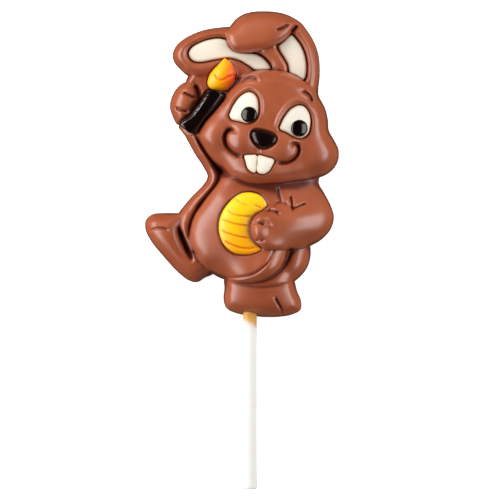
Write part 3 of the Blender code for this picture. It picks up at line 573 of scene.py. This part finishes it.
def addForm(name, plain, height, x, y):
    # a form carries on over the heights that its outline crosses, and stands out from the bare back
    form = forms[name]
    outline = smoothCurve(form["outline"])
    window = windowAround(outline, 1)
    px, py = x[window], y[window]
    distance = distanceInside(px, py, outline)
    below = plain[window]
    under = spreadInside(np.maximum(below, 0), distance)
    bare = spreadInside((below <= 0) * 1.0, distance)
    share = {reach: 1 - (1 - np.clip(distance / form[reach], 0, 1))**3 for reach in ("rounding", "pad")}
    step = form["lift"] * share["pad"] + form["gain"] * swelling(distance)
    if "fade" in form:
        step = step * smoothStep(*form["fade"], py)
    for cx, cy, rx, ry, rise in puffs[name].values():
        bump = np.clip(1 - ((px - cx) / rx)**2 - ((py - cy) / ry)**2, 0, 1)**2
        step = step + rise * bump * smoothStep(0, relief["puffEdge"], distance)
    raised = under + form["wall"] * bare * share["rounding"] + step
    falling = relief["edgeSlope"] * distance
    plain[window] = np.where(distance > 0, raised, np.maximum(below, falling))
    height[window] = np.where(distance > 0, raised, np.maximum(height[window], falling))


def creaseShape(x, y, width, points):
    # the window that a groove or ridge reaches, and its share of the full depth there
    line = smoothCurve(points, closed=False)
    window = windowAround(line, 4 * width)
    distance, along = distanceToLine(x[window], y[window], line)
    ends = np.clip(np.minimum(along, 1 - along) / relief["taper"], 0, 1)
    return window, (relief["endDepth"] + (1 - relief["endDepth"]) * ends) * np.exp(-(distance / width)**2)


def pressIn(plain, height, x, y, inlay):
    # a dip round a casting, the seam beside it and the floor that it sits on
    outline = smoothCurve(inlay["outline"])
    window = windowAround(outline, inlay["dipReach"] + 1)
    inside = distanceInside(x[window], y[window], outline)
    here = inside > relief["floorTo"]
    level = np.column_stack([x[window][here], y[window][here], np.ones(here.sum())])
    if "edge" in inlay:
        plane = np.array([0, 0, inlay["edge"]])
    else:
        plane = np.linalg.lstsq(level, plain[window][here], rcond=None)[0] + [0, 0, inlay["lift"]]
    edge = plane[0] * x[window] + plane[1] * y[window] + plane[2]
    height[window] -= inlay["dip"] * np.clip(1 + np.minimum(inside, 0) / inlay["dipReach"], 0, 1)**2
    width, slope = relief["seamWidth"], relief["seamSlope"]
    seam = smoothStep(-width - slope, -width, inside)
    bottom = np.minimum(height[window], edge) - relief["seamDepth"]
    height[window] += seam * np.minimum(bottom - height[window], 0)
    under = smoothStep(relief["floorFrom"], relief["floorTo"], inside)
    height[window] += under * np.minimum(edge - inlay["thickness"] - relief["floorGap"] - height[window], 0)
    return plane


def bodyHeight(x, y):
    # the height over the back, and the plane that each casting's edge lies in
    plain = np.full(x.shape, float(relief["farBelow"]))
    height = plain.copy()
    planes = {}
    for name in layers:
        if name in forms:
            addForm(name, plain, height, x, y)
        else:
            planes[name] = pressIn(plain, height, x, y, inlays[name])
    print("highest point in mm:", round(float(height.max()), 2))
    for sign, creases in ((-1, grooves), (1, ridges)):
        for depth, width, points in creases.values():
            window, share = creaseShape(x, y, width, points)
            height[window] += sign * depth * share
    return height, planes


def closedAtBack(mesh):
    # cut off at the back plane and closed with a flat back
    work = bmesh.new()
    work.from_mesh(mesh)
    everything = work.verts[:] + work.edges[:] + work.faces[:]
    bmesh.ops.bisect_plane(work, geom=everything, plane_co=(0, 0, 0), plane_no=(0, 0, 1), clear_inner=True)
    for vertex in work.verts:
        if vertex.is_boundary:
            vertex.co.z = 0
    bmesh.ops.remove_doubles(work, verts=work.verts, dist=0.002 * mm)
    for face in work.faces:
        face.smooth = True
    rim = [edge for edge in work.edges if edge.is_boundary]
    back = bmesh.ops.contextual_create(work, geom=rim)["faces"]
    back = bmesh.ops.triangulate(work, faces=back)["faces"]
    bmesh.ops.recalc_face_normals(work, faces=work.faces)
    for face in back:
        face.smooth = False
    work.to_mesh(mesh)
    work.free()
    return mesh


def chocolateSurface(graph, place):
    hollowShade = graph.attribute("hollowShade")
    mottle = graph.between(0.35, 0.7, graph.noise(place, chocolate["mottle"], 3, 0.55))
    tone = graph.blend(mottle, (*chocolate["tone"], 1), (*chocolate["warmTone"], 1))
    # painted shade: the tone darkens in hollows, where the roughness also rises and the coat thins
    tone = graph.blend(graph.between(0.03, 0.9, hollowShade), tone, (*chocolate["shadeTone"], 1))
    ripple = graph.noise(place, chocolate["ripple"], 2, 0.4)
    grain = graph.noise(place, chocolate["grain"], 3, 0.6)
    normal = graph.bump(ripple * chocolate["rippleHeight"] + grain * chocolate["grainHeight"])
    rough = chocolate["rough"] + chocolate["grainRough"] * grain + chocolate["hollowRough"] * hollowShade
    coat = chocolate["coat"] - chocolate["coat"] * hollowShade
    return {"Base Color": tone, "Roughness": rough, "Coat Weight": coat, "Normal": normal}


milkGloss = {"Specular IOR Level": 0.8, "Coat Roughness": 0.27}
milkFinish = finish("milkChocolate", milkGloss, chocolateSurface)


def makeBody():
    x, y = gridAxes()
    height, planes = bodyHeight(x, y)
    level = np.maximum(height, 0)
    # how far each point lies below its surroundings gives the painted shade in hollows and under overhangs
    around = blurred(level, chocolate["hollowWidth"])
    narrow = np.clip((around - level) / chocolate["hollowReach"], 0, 1)
    around = blurred(level, chocolate["broadWidth"])
    wide = np.clip((around - level - chocolate["broadStart"]) / chocolate["broadReach"], 0, 1)
    hollowShade = np.maximum(narrow, chocolate["broadShare"] * wide)
    rows, columns = height.shape
    index = np.arange(rows * columns).reshape(rows, columns)
    quads = np.dstack([index[:-1, :-1], index[:-1, 1:], index[1:, 1:], index[1:, :-1]]).reshape(-1, 4)
    quads = quads[(height.ravel()[quads] > 0).any(axis=1)]
    used, faces = np.unique(quads, return_inverse=True)
    points = np.stack([x.ravel(), y.ravel(), np.maximum(height.ravel(), relief["skirt"])], axis=1)[used]
    for axis in (0, 1):
        points[:, axis] = np.clip(points[:, axis], cadBox[0][axis] / mm + 0.01, cadBox[1][axis] / mm - 0.01)
    mesh = meshFrom("chocolateBody", points, faces.reshape(-1, 4).tolist(), {"hollowShade": hollowShade.ravel()[used]})
    addPiece("chocolateBody", closedAtBack(mesh), milkFinish, "chocolate_body")
    print("chocolate body:", len(mesh.polygons), "faces")
    return planes


# separate castings that sit in the milk chocolate: lift is the edge's height over the form below it,
# edge the same over the back, and rise how far the middle stands above the edge
inlays = {
    "earInnerLeft": {
        "node": "ear_inner_left", "thickness": 2, "lift": -1.5, "rise": 0.35,
        "dipReach": 2.3, "dip": 2,
        "outline": [
            (-19.2, 61.3), (-18.4, 63.1), (-15.9, 64.7), (-12.3, 65.9), (-9, 66.1), (-7.2, 65.4),
            (-6.4, 63.6), (-4.4, 62), (-1, 61.5), (2, 61.2), (4.3, 60), (6, 58), (6.6, 56.7),
            (3.6, 56.3), (1.6, 56.4), (-0.6, 57.8), (-3.4, 59.4), (-7, 60.2), (-11.3, 59.5),
            (-15.6, 58.8), (-18, 59.3),
        ],
    },
    "earInnerRight": {
        "node": "ear_inner_right", "thickness": 2, "lift": -1.5, "rise": 0.35,
        "dipReach": 1.6, "dip": 2,
        "outline": [
            (12.9, 67.2), (14.8, 65.5), (16.4, 63), (17.4, 60), (17.7, 56.8), (17.2, 53.7),
            (16.6, 53.2), (14.4, 54.5), (12.4, 55.5), (12, 57.6), (10.9, 59.8), (9.3, 62.2),
            (8.8, 63.7), (10.6, 65.4),
        ],
    },
    "eyeWhiteLeft": {
        "node": "eye_white_left", "thickness": 2.6, "lift": -0.55, "rise": 0.8,
        "dipReach": 1.3, "dip": 0.65,
        "outline": [
            (-0.4, 49.2), (-2.6, 48.2), (-4.6, 45.9), (-6, 43.3), (-6.4, 41.7), (-5.6, 40.6),
            (-3.4, 40.1), (-0.8, 39.5), (1.4, 40.4), (2.5, 42.3), (2.7, 45), (2.3, 47.4), (1.1, 48.8),
        ],
    },
    "eyeWhiteRight": {
        "node": "eye_white_right", "thickness": 2.6, "lift": -0.55, "rise": 0.8,
        "dipReach": 1.3, "dip": 0.65,
        "outline": [
            (15.2, 45.1), (12.8, 44), (10.9, 41.7), (9.6, 39.2), (9.3, 37.7), (11.4, 36.6),
            (13.4, 35.5), (15.6, 34.9), (17.8, 36), (18.7, 38.5), (18.8, 41), (18.2, 43), (16.9, 44.7),
        ],
    },
    "darkNose": {
        "node": "nose", "thickness": 3, "lift": 0.3, "rise": 1.1,
        "dipReach": 0.8, "dip": 0.3,
        "outline": [
            (0.3, 35.8), (0.8, 37), (2.4, 37.4), (5, 36.9), (7.3, 35.9), (8.3, 34.7), (7.7, 33.3),
            (6, 32.1), (4.2, 31.7), (2.6, 32.2), (1.1, 33.7),
        ],
    },
    "toothLeft": {
        "node": "tooth_left", "thickness": 2.4, "lift": 0.1, "rise": 0.5, "rounding": 0.25,
        "dipReach": 0.8, "dip": 0.3,
        "outline": [
            (-1.7, 29.4), (-1.3, 27.4), (-0.8, 25.6), (0.2, 24.5), (1.4, 24.05), (1.95, 24.7),
            (2.12, 27), (2.17, 29.2), (1.7, 29.6), (0.3, 29.6),
        ],
    },
    "toothRight": {
        "node": "tooth_right", "thickness": 2.4, "lift": 0.1, "rise": 0.5, "rounding": 0.25,
        "dipReach": 0.8, "dip": 0.3,
        "outline": [
            (2.9, 29.5), (2.36, 29.2), (2.31, 27), (2.19, 24.6), (2.9, 23.85), (4.3, 23.7), (5.8, 24.5),
            (6.8, 26), (7.5, 27.8), (7.2, 28.3), (5.2, 28.9),
        ],
    },
    "brushHandle": {
        "node": "brush_handle", "thickness": 3.9, "edge": 6.4, "rise": 2.9,
        "axis": [(-19.6, 38.3), (-16, 42), (-13, 45.8), (-10.3, 49.6)], "halfWidth": 3.3, "spacing": 0.17,
        "dipReach": 0.8, "dip": 0.2,
        "outline": [
            (-22.1, 39.3), (-20.4, 40.9), (-18.5, 42.3), (-16.9, 44.5), (-15.3, 46.8), (-13.1, 49.8),
            (-11.4, 50), (-9.6, 49.1), (-8, 48.3), (-9.4, 46), (-11.6, 43.4), (-14, 41), (-15.6, 38.6),
            (-16.6, 36.8), (-18.7, 36.4), (-20.4, 37.8),
        ],
    },
    "brushTip": {
        "node": "brush_tip", "thickness": 3.4, "edge": 6.2, "rise": 2.4,
        "dipReach": 0.8, "dip": 0.2,
        "outline": [
            (-7.9, 59.95), (-8.7, 59.2), (-9.8, 58), (-11.6, 56.2), (-12.9, 54), (-13.2, 51.8), (-12.4, 50.6),
            (-10.4, 50.1), (-8.2, 49.9), (-6.4, 51), (-5, 52.8), (-4.6, 55), (-5.1, 57.2), (-6.2, 58.8),
            (-7.15, 59.5),
        ],
    },
    "yellowEgg": {
        "node": "egg", "thickness": 3, "lift": -0.3, "rise": 1.6,
        "dipReach": 0.9, "dip": 0.3,
        "outline": [
            (-0.4, 18), (2.4, 17.4), (4.3, 15.9), (5.2, 13.8), (4, 12.6), (1.6, 11.2), (0.1, 9.2),
            (-0.3, 6.6), (0.2, 4), (1.7, 1.7), (3.4, 0.3), (1.6, -0.8), (-1.5, -1.4), (-5, -0.9),
            (-7.8, 1.3), (-9.4, 4.7), (-9.6, 8.6), (-8.3, 12.4), (-5.6, 15.7), (-3, 17.5),
        ],
    },
}

pupils = {
    "pupilLeft": {"node": "pupil_left", "white": "eyeWhiteLeft", "centre": (-0.35, 42.25), "radius": 2.55},
    "pupilRight": {"node": "pupil_right", "white": "eyeWhiteRight", "centre": (15.35, 38.0), "radius": 2.7},
    "lift": 0.8, "thickness": 1.4, "rise": 0.9, "points": 56,
}

# lines pressed into the castings: depth, half-width, points
marks = {
    "yellowEgg": [
        (0.35, 0.22, [(-5.2, 16.1), (-4.2, 15.8), (-2.5, 14.6), (-0.7, 13.7)]),
        (0.3, 0.2, [(1.2, 14.2), (2, 13.8), (3.5, 12.9)]),
        (0.35, 0.22, [(-7.2, 12.9), (-6.5, 12.3), (-5, 11.2), (-3, 10.6), (1, 10.4)]),
        (0.4, 0.22, [(-9.2, 10.1), (-8.7, 9.8), (-7, 9), (-5, 8.2), (-2.5, 7.7), (-0.2, 7.5)]),
        (0.4, 0.22, [(-9.2, 6.4), (-8.2, 5.9), (-6.5, 5.1), (-4, 4.3), (-2, 3.9), (0.3, 3.6)]),
        (0.4, 0.22, [(-8.4, 3.2), (-7, 2.4), (-5, 1.4), (-3, 0.7), (0, 0.5), (2, 0.8)]),
    ],
    "brushTip": [
        (0.5, 0.28, [
            (-11.3, 55.6), (-10.8, 54.6), (-10.2, 53.7), (-9.5, 53.2), (-8.8, 53), (-8, 53.3), (-7, 54),
            (-5.8, 54.4), (-5, 54.5),
        ]),
    ],
    "brushHandle": [
        (0.25, 0.3, [(-12.9, 42.2), (-12, 42.6), (-11, 43)]),
        (-0.45, 0.3, [(-21.4, 39.3), (-18.6, 41), (-16.7, 43.3), (-15.2, 45.5), (-13.4, 48.1), (-12, 49.5)]),
    ],
}

casting = {
    "spacing": 0.34,  # between points of the mesh
    "rings": (0.05, 0.14, 0.28, 0.46, 0.68),  # distances inside the outline that the rounded edge is drawn at
    "rounding": 0.6,
    "endDepth": 0.2,  # share of a line's depth that is left at its ends
    "darkening": 1.25,  # how much wider the darker colour of a line is than the line
}


def filledOutline(outline, spacing, rings):
    # points and triangles inside a closed outline, closer together near its edge
    ahead = np.roll(outline, -1, axis=0) - np.roll(outline, 1, axis=0)
    following = np.roll(outline, -1, axis=0)
    turn = np.sign(np.sum(outline[:, 0] * following[:, 1] - outline[:, 1] * following[:, 0]))
    inwards = turn * np.stack([-ahead[:, 1], ahead[:, 0]], axis=1) / np.linalg.norm(ahead, axis=1)[:, None]
    inner = [outline + ring * inwards for ring in rings]
    low, high = outline.min(axis=0), outline.max(axis=0)
    rowStep = spacing * math.sqrt(3) / 2
    x, y = np.meshgrid(np.arange(low[0], high[0], spacing), np.arange(low[1], high[1], rowStep))
    x[1::2] += spacing / 2
    depths = [np.full(len(outline), 0.9 * ring) for ring in rings]
    depths.append(np.full(x.size, rings[-1] + spacing / 2))
    inner = np.concatenate(inner + [np.stack([x.ravel(), y.ravel()], axis=1)])
    inner = inner[distanceInside(inner[:, 0], inner[:, 1], outline) > np.concatenate(depths)]
    corners = [Vector(point) for point in np.concatenate([outline, inner])]
    edges = [(i, (i + 1) % len(outline)) for i in range(len(outline))]
    corners, _, faces, *_ = delaunay_2d_cdt(corners, edges, [], 1, 1e-5)
    return np.array([tuple(corner) for corner in corners]), [tuple(face) for face in faces]


def domeShape(outline, inlay, px, py):
    # share of the full rise: half-round along an axis, or swollen from the outline
    if "axis" in inlay:
        distance = distanceToLine(px, py, smoothCurve(inlay["axis"], closed=False))[0]
        return np.sqrt(np.clip(1 - (distance / inlay["halfWidth"])**2, 0, 1))
    x, y = gridAxes()
    window = windowAround(outline, 1)
    dome = np.zeros(x.shape)
    dome[window] = swelling(distanceInside(x[window], y[window], outline))
    return sampled(dome / dome.max(), px, py)


def castingMesh(name, outline, plane, inlay, lines):
    corners, faces = filledOutline(outline, inlay.get("spacing", casting["spacing"]), casting["rings"])
    px, py = corners.T
    inside = np.maximum(distanceInside(px, py, outline), 0)
    rounding = inlay.get("rounding", casting["rounding"])
    short = np.maximum(rounding - inside, 0)
    lip = rounding - np.sqrt(rounding**2 - short**2)
    edge = plane[0] * px + plane[1] * py + plane[2]
    top = edge - lip + inlay["rise"] * domeShape(outline, inlay, px, py)
    groove = np.zeros(len(px))
    for depth, width, points in lines:
        distance, along = distanceToLine(px, py, smoothCurve(points, closed=False))
        ends = np.clip(np.minimum(along, 1 - along) / relief["taper"], 0, 1)
        run = casting["endDepth"] + (1 - casting["endDepth"]) * ends
        share = run * np.exp(-(distance / width)**2)
        top -= depth * share
        groove = np.maximum(groove, run * np.exp(-(distance / width / casting["darkening"])**2))
    count = len(px)
    underside = np.column_stack([corners, edge - inlay["thickness"]])
    points = np.concatenate([np.column_stack([corners, top]), underside])
    sides = {(a, b) for face in faces for a, b in zip(face, face[1:] + face[:1])}
    walls = [(b, a, a + count, b + count) for a, b in sorted(sides) if (b, a) not in sides]
    under = [tuple(count + i for i in reversed(face)) for face in faces]
    attributes = {"groove": np.concatenate([groove, groove]), "inset": np.concatenate([inside, inside])}
    allFaces = [tuple(int(i) for i in face) for face in list(faces) + under + walls]
    return smoothed(meshFrom(name, points, allFaces, attributes), 50)


def whiteSurface(graph, place, light=(249, 240, 223), shade=(247, 236, 217)):
    inset = graph.attribute("inset")
    mottle = graph.noise(place, 6, 3, 0.55)
    tone = graph.blend(mottle, (*linearColour(*light), 1), (*linearColour(*shade), 1))
    tone = graph.blend(graph.between(0.9, 0, inset) * 0.6, tone, (*linearColour(226, 196, 150), 1))
    normal = graph.castSkin(place, 4, 0.05)
    return {"Base Color": tone, "Roughness": 0.34 + 0.1 * mottle, "Normal": normal}


def brightSurface(graph, place):
    return whiteSurface(graph, place, (246, 239, 226), (240, 231, 214))


def darkSurface(graph, place):
    mottle = graph.noise(place, 5, 3, 0.55)
    tone = graph.blend(mottle, (*linearColour(9, 2, 2), 1), (*linearColour(20, 5, 5), 1))
    normal = graph.castSkin(place, 3, 0.06)
    crest = graph.attribute("groove")
    rough = 0.16 + 0.06 * mottle
    return {"Base Color": tone, "Roughness": rough, "Coat Weight": 0.1 + 0.9 * crest, "Normal": normal}


def colouredSurface(bright, warm, line, start, end):
    # colour turns from bright to warm between two points, and the pressed lines are darker
    def surface(graph, place):
        groove = graph.attribute("groove")
        along = np.array(end) - np.array(start)
        direction = along / np.dot(along, along) / mm
        x, y, _ = graph.split(place)
        share = x * direction[0] + y * direction[1] - np.dot(start, direction) * mm
        share = share + 0.25 * (graph.noise(place, 5, 3, 0.5) - 0.5)
        tone = graph.blend(graph.between(0, 1, share), (*bright, 1), (*warm, 1))
        tone = graph.blend(groove * graph.between(-0.6, 0.8, share), tone, (*line, 1))
        normal = graph.castSkin(place, 3.5, 0.05)
        rough = 0.3 + 0.1 * graph.noise(place, 2, 2, 0.5)
        # the Emission Color is painted light: the tone glows faintly, standing in for light shining through
        # the chocolate
        return {"Base Color": tone, "Emission Color": tone, "Roughness": rough, "Normal": normal}
    return surface


whiteFinish = finish("whiteChocolate", {"Specular IOR Level": 0.5}, whiteSurface)
brightFinish = finish("brightWhiteChocolate", {"Specular IOR Level": 0.5}, brightSurface)
darkGloss = {"Specular IOR Level": 0.4, "Coat IOR": 2.2, "Coat Roughness": 0.1}
darkFinish = finish("darkChocolate", darkGloss, darkSurface)
# the emission strengths make the egg and the tip glow a little: painted light
eggFinish = finish("yellowChocolate", {"Specular IOR Level": 0.6, "Emission Strength": 0.02}, colouredSurface(
    linearColour(253, 212, 18), linearColour(253, 168, 0), linearColour(238, 104, 4), (-7, 13), (2, 1),
))
tipFinish = finish("orangeChocolate", {"Specular IOR Level": 0.5, "Emission Strength": 0.16}, colouredSurface(
    linearColour(252, 178, 6), linearColour(238, 76, 0), linearColour(236, 86, 2),
    (-10.5, 54.5), (-4.8, 53.2),
))
castingFinishes = {
    "earInnerLeft": (whiteFinish, "white_chocolate"),
    "earInnerRight": (whiteFinish, "white_chocolate"),
    "eyeWhiteLeft": (brightFinish, "white_chocolate"),
    "eyeWhiteRight": (brightFinish, "white_chocolate"),
    "toothLeft": (brightFinish, "white_chocolate"),
    "toothRight": (brightFinish, "white_chocolate"),
    "darkNose": (darkFinish, "dark_chocolate"),
    "brushHandle": (darkFinish, "dark_chocolate"),
    "brushTip": (tipFinish, "orange_chocolate"),
    "yellowEgg": (eggFinish, "yellow_chocolate"),
}


def makeCastings(planes):
    for name, inlay in inlays.items():
        outline = smoothCurve(inlay["outline"])
        lines = marks.get(name, [])
        mesh = castingMesh(name, outline, planes[name], inlay, lines)
        look, slot = castingFinishes[name]
        piece = addPiece(name, mesh, look, inlay["node"])
        # yellow and orange aren't mirrored in the chocolate beside them
        piece.visible_glossy = slot not in ("yellow_chocolate", "orange_chocolate")
        print("casting", name + ":", len(mesh.polygons), "faces")
    turns = np.arange(pupils["points"]) * 2 * math.pi / pupils["points"]
    for name in ("pupilLeft", "pupilRight"):
        centre, radius = pupils[name]["centre"], pupils[name]["radius"]
        disc = np.stack([centre[0] + radius * np.cos(turns), centre[1] + radius * np.sin(turns)], axis=1)
        plane = planes[pupils[name]["white"]] + [0, 0, pupils["lift"]]
        mesh = castingMesh(name, disc, plane, pupils, [])
        addPiece(name, mesh, darkFinish, pupils[name]["node"])
        print("casting", name + ":", len(mesh.polygons), "faces")


# paper stick, rolled from one sheet: the free edge shows as a fine step that winds slowly round it
stick = {
    "End": -74.8, "Top": 26, "Radius": 2.2, "Height": 3,
    "Sheet": 0.07,  # thickness of the paper at the free edge
    "Rounding": 0.3,
    "Turn": 2.5,  # how far the free edge winds round along the stick, radians
    "rings": 64, "sides": 72,
    "stainFrom": -24.3, "stainTo": -21.7,  # where fat from the chocolate has soaked into the paper
    "stainWobble": 1.6, "stainSlant": 0.57,
    "layerRate": 28,  # how fast the rolled layers follow each other at the cut end, radians a millimetre
}


def stickTree():
    tree = bpy.data.node_groups.new("rolledStick", "GeometryNodeTree")
    for name in ("End", "Top", "Radius", "Height", "Sheet", "Rounding", "Turn"):
        tree.interface.new_socket(name=name, in_out="INPUT", socket_type="NodeSocketFloat")
    tree.interface.new_socket(name="Finish", in_out="INPUT", socket_type="NodeSocketMaterial")
    tree.interface.new_socket(name="Geometry", in_out="OUTPUT", socket_type="NodeSocketGeometry")
    graph = Graph(tree)
    given = tree.nodes.new("NodeGroupInput")
    end, top, radius, height, sheet, rounding, turn, material = [Wire(graph, s) for s in given.outputs[:8]]

    # path, with its points close together at both ends
    line = graph.node("GeometryNodeCurvePrimitiveLine", None, {"Start": (0, 0, 0), "End": (0, 1, 0)})
    line = graph.node("GeometryNodeResampleCurve", None, {"Curve": line, "Count": stick["rings"]})
    share = graph.node("GeometryNodeSplineParameter")
    share = 0.5 - 0.5 * graph.maths("COSINE", share * math.pi)
    y = end + (top - end) * share
    spot = graph.node("ShaderNodeCombineXYZ", None, {"Y": y, "Z": height})
    path = graph.node("GeometryNodeSetPosition", None, {"Geometry": line, "Position": spot})

    # width along the path, and the turn of the free edge
    along = graph.node("GeometryNodeInputPosition")
    along = graph.split(along)[1]
    fromEnd = graph.maths("MINIMUM", along - end, top - along)
    short = graph.node("ShaderNodeClamp", None, {"Value": 1 - fromEnd / rounding})
    width = 1 - rounding / radius * (1 - (1 - short * short) ** 0.5)
    tilt = turn * (along - end) / (top - end)
    path = graph.node("GeometryNodeSetCurveTilt", None, {"Curve": path, "Tilt": tilt})

    # outline of the roll: the radius falls by one sheet over a whole turn
    sides = {"Resolution": stick["sides"], "Radius": radius}
    circle = graph.node("GeometryNodeCurvePrimitiveCircle", None, sides)
    part = graph.node("GeometryNodeInputIndex") / (stick["sides"] - 1)
    place = graph.node("GeometryNodeInputPosition")
    inwards = 1 - part * sheet / radius
    rolled = graph.node("ShaderNodeVectorMath", {"operation": "SCALE"}, {0: place, 3: inwards})
    outline = graph.node("GeometryNodeSetPosition", None, {"Geometry": circle, "Position": rolled})

    sweep = {"Curve": path, "Profile Curve": outline, "Scale": width, "Fill Caps": True}
    roll = graph.node("GeometryNodeCurveToMesh", None, sweep)
    roll = graph.node("GeometryNodeRealizeInstances", None, {"Geometry": roll})
    roll = graph.node("GeometryNodeSetMaterial", None, {"Geometry": roll, "Material": material})
    graph.node("NodeGroupOutput", None, {"Geometry": roll})
    return tree


def paperSurface(graph, place):
    x, y, z = graph.split(place)
    fibres = graph.noise(place, 0.35, 4, 0.65)
    cloud = graph.noise(place, 2.5, 3, 0.5)
    tone = graph.blend(cloud, (*linearColour(252, 251, 249), 1), (*linearColour(244, 242, 238), 1))
    wobble = (
        y / mm + stick["stainWobble"] * (graph.noise(place, 1.6, 3, 0.6) - 0.5) + stick["stainSlant"] * x / mm
    )
    stain = graph.between(stick["stainFrom"], stick["stainTo"], wobble)
    tone = graph.blend(stain * 0.95, tone, (*linearColour(240, 172, 58), 1))
    # the rolled layers show at the cut end
    around = graph.maths("ARCTAN2", z / mm - stick["Height"], x / mm)
    outwards = (x * x / mm**2 + (z / mm - stick["Height"]) ** 2) ** 0.5
    rolls = graph.maths("SINE", outwards * stick["layerRate"] - around)
    cutEnd = graph.between(stick["End"] + 0.2, stick["End"] + 0.05, y / mm)
    normal = graph.bump(fibres * 0.02 + cutEnd * rolls * 0.03)
    return {"Base Color": tone, "Roughness": 0.7 - 0.25 * stain, "Normal": normal}


def makeStick():
    paper = finish("rolledPaper", {"Specular IOR Level": 0.3}, paperSurface)
    tree = stickTree()
    holder = bpy.data.objects.new("stickHolder", bpy.data.meshes.new("stickHolder"))
    bpy.context.scene.collection.objects.link(holder)
    modifier = holder.modifiers.new("roll", "NODES")
    modifier.node_group = tree
    sockets = {item.name: item.identifier for item in tree.interface.items_tree if item.in_out == "INPUT"}
    for name in ("End", "Top", "Radius", "Height", "Sheet", "Rounding"):
        modifier[sockets[name]] = stick[name] * mm
    modifier[sockets["Turn"]] = stick["Turn"]
    modifier[sockets["Finish"]] = paper
    ready = holder.evaluated_get(bpy.context.evaluated_depsgraph_get())
    mesh = bpy.data.meshes.new_from_object(ready)
    bpy.data.objects.remove(holder)
    addPiece("paperStick", smoothed(mesh, 40, 0.001 * mm), paper, "stick")
    print("stick:", len(mesh.polygons), "faces")


# pale floor, soft lights and a camera that looks straight down
studio = {
    "floor": 3.0,
    "floorColour": (0.9, 0.9, 0.9),
    "floorGlow": 0.8,
    "lowAir": (0.26, 0.13, 0.08),  # below the horizon, warm so that steep sides stay brown
    "horizonAir": 0.07,  # the air is bright low down and dark overhead
    "zenithAir": 0.02,
    "airHeights": (0.05, 0.3, 0.75),  # start and end of the bright air and start of the dark, 1 overhead
    "frameWidth": 156.25,  # millimetres across the picture, at the level below
    "level": 6,
    "lens": 400, "sensor": 36, "clip": (0.01, 20),
    "aim": (0, 0.02, 0),  # where the lamps point
    "lamps": {
        # place, width, length, watts and whether it shows as a highlight
        "leftPanel": ((-0.53, 0.09, 0.26), 0.9, 0.5, 5.8, True),
        "rightPanel": ((0.5, 0.03, 0.22), 0.6, 0.4, 2.7, True),
        "topPanel": ((-0.02, 0.66, 0.42), 1.2, 0.3, 4.0, False),
    },
}


def makeStudio():
    work = bmesh.new()
    bmesh.ops.create_grid(work, x_segments=4, y_segments=4, size=studio["floor"])
    mesh = bpy.data.meshes.new("paleFloor")
    work.to_mesh(mesh)
    work.free()
    floor = bpy.data.objects.new("paleFloor", mesh)
    bpy.context.scene.collection.objects.link(floor)
    glow = {"Roughness": 0.9, "Emission Strength": studio["floorGlow"]}

    def floorSurface(graph, place):
        return {"Base Color": (*studio["floorColour"], 1), "Emission Color": (1, 1, 1, 1)}

    mesh.materials.append(finish("paleSweep", glow, floorSurface))
    floor.visible_diffuse = floor.visible_glossy = False

    world = bpy.data.worlds.new("studioAir")
    bpy.context.scene.world = world
    world.use_nodes = True
    world.node_tree.nodes.clear()
    graph = Graph(world.node_tree)
    upwards = graph.split(graph.node("ShaderNodeTexCoord"))[2]
    below, low, high = studio["lowAir"], studio["horizonAir"], studio["zenithAir"]
    first, last, dark = studio["airHeights"]
    stops = [(0, below), (first, (low,) * 3), (last, (low,) * 3), (dark, (high,) * 3)]
    air = graph.node("ShaderNodeValToRGB", {"stops": stops}, {"Fac": upwards})
    # what is seen directly behind the floor is as pale as the floor
    seen = graph.node("ShaderNodeLightPath", None, None, 0)
    air = graph.blend(seen, air, (1, 1, 1, 1))
    air = graph.node("ShaderNodeBackground", None, {"Color": air})
    graph.node("ShaderNodeOutputWorld", None, {"Surface": air})

    for name, (place, width, length, watts, shines) in studio["lamps"].items():
        lamp = bpy.data.lights.new(name, "AREA")
        lamp.shape = "RECTANGLE"
        lamp.size, lamp.size_y, lamp.energy = width, length, watts
        holder = bpy.data.objects.new(name, lamp)
        bpy.context.scene.collection.objects.link(holder)
        holder.location = place
        holder.visible_glossy = shines
        holder.rotation_euler = (Vector(studio["aim"]) - Vector(place)).to_track_quat("-Z", "Y").to_euler()

    camera = bpy.data.cameras.new("overhead")
    camera.lens, camera.sensor_width = studio["lens"], studio["sensor"]
    camera.clip_start, camera.clip_end = studio["clip"]
    holder = bpy.data.objects.new("overhead", camera)
    bpy.context.scene.collection.objects.link(holder)
    away = studio["frameWidth"] * mm * camera.lens / camera.sensor_width
    holder.location = (0, 0, studio["level"] * mm + away)
    bpy.context.scene.camera = holder
    bpy.context.scene.view_settings.view_transform = "Standard"


castingPlanes = makeBody()
makeCastings(castingPlanes)
makeStick()
makeStudio()
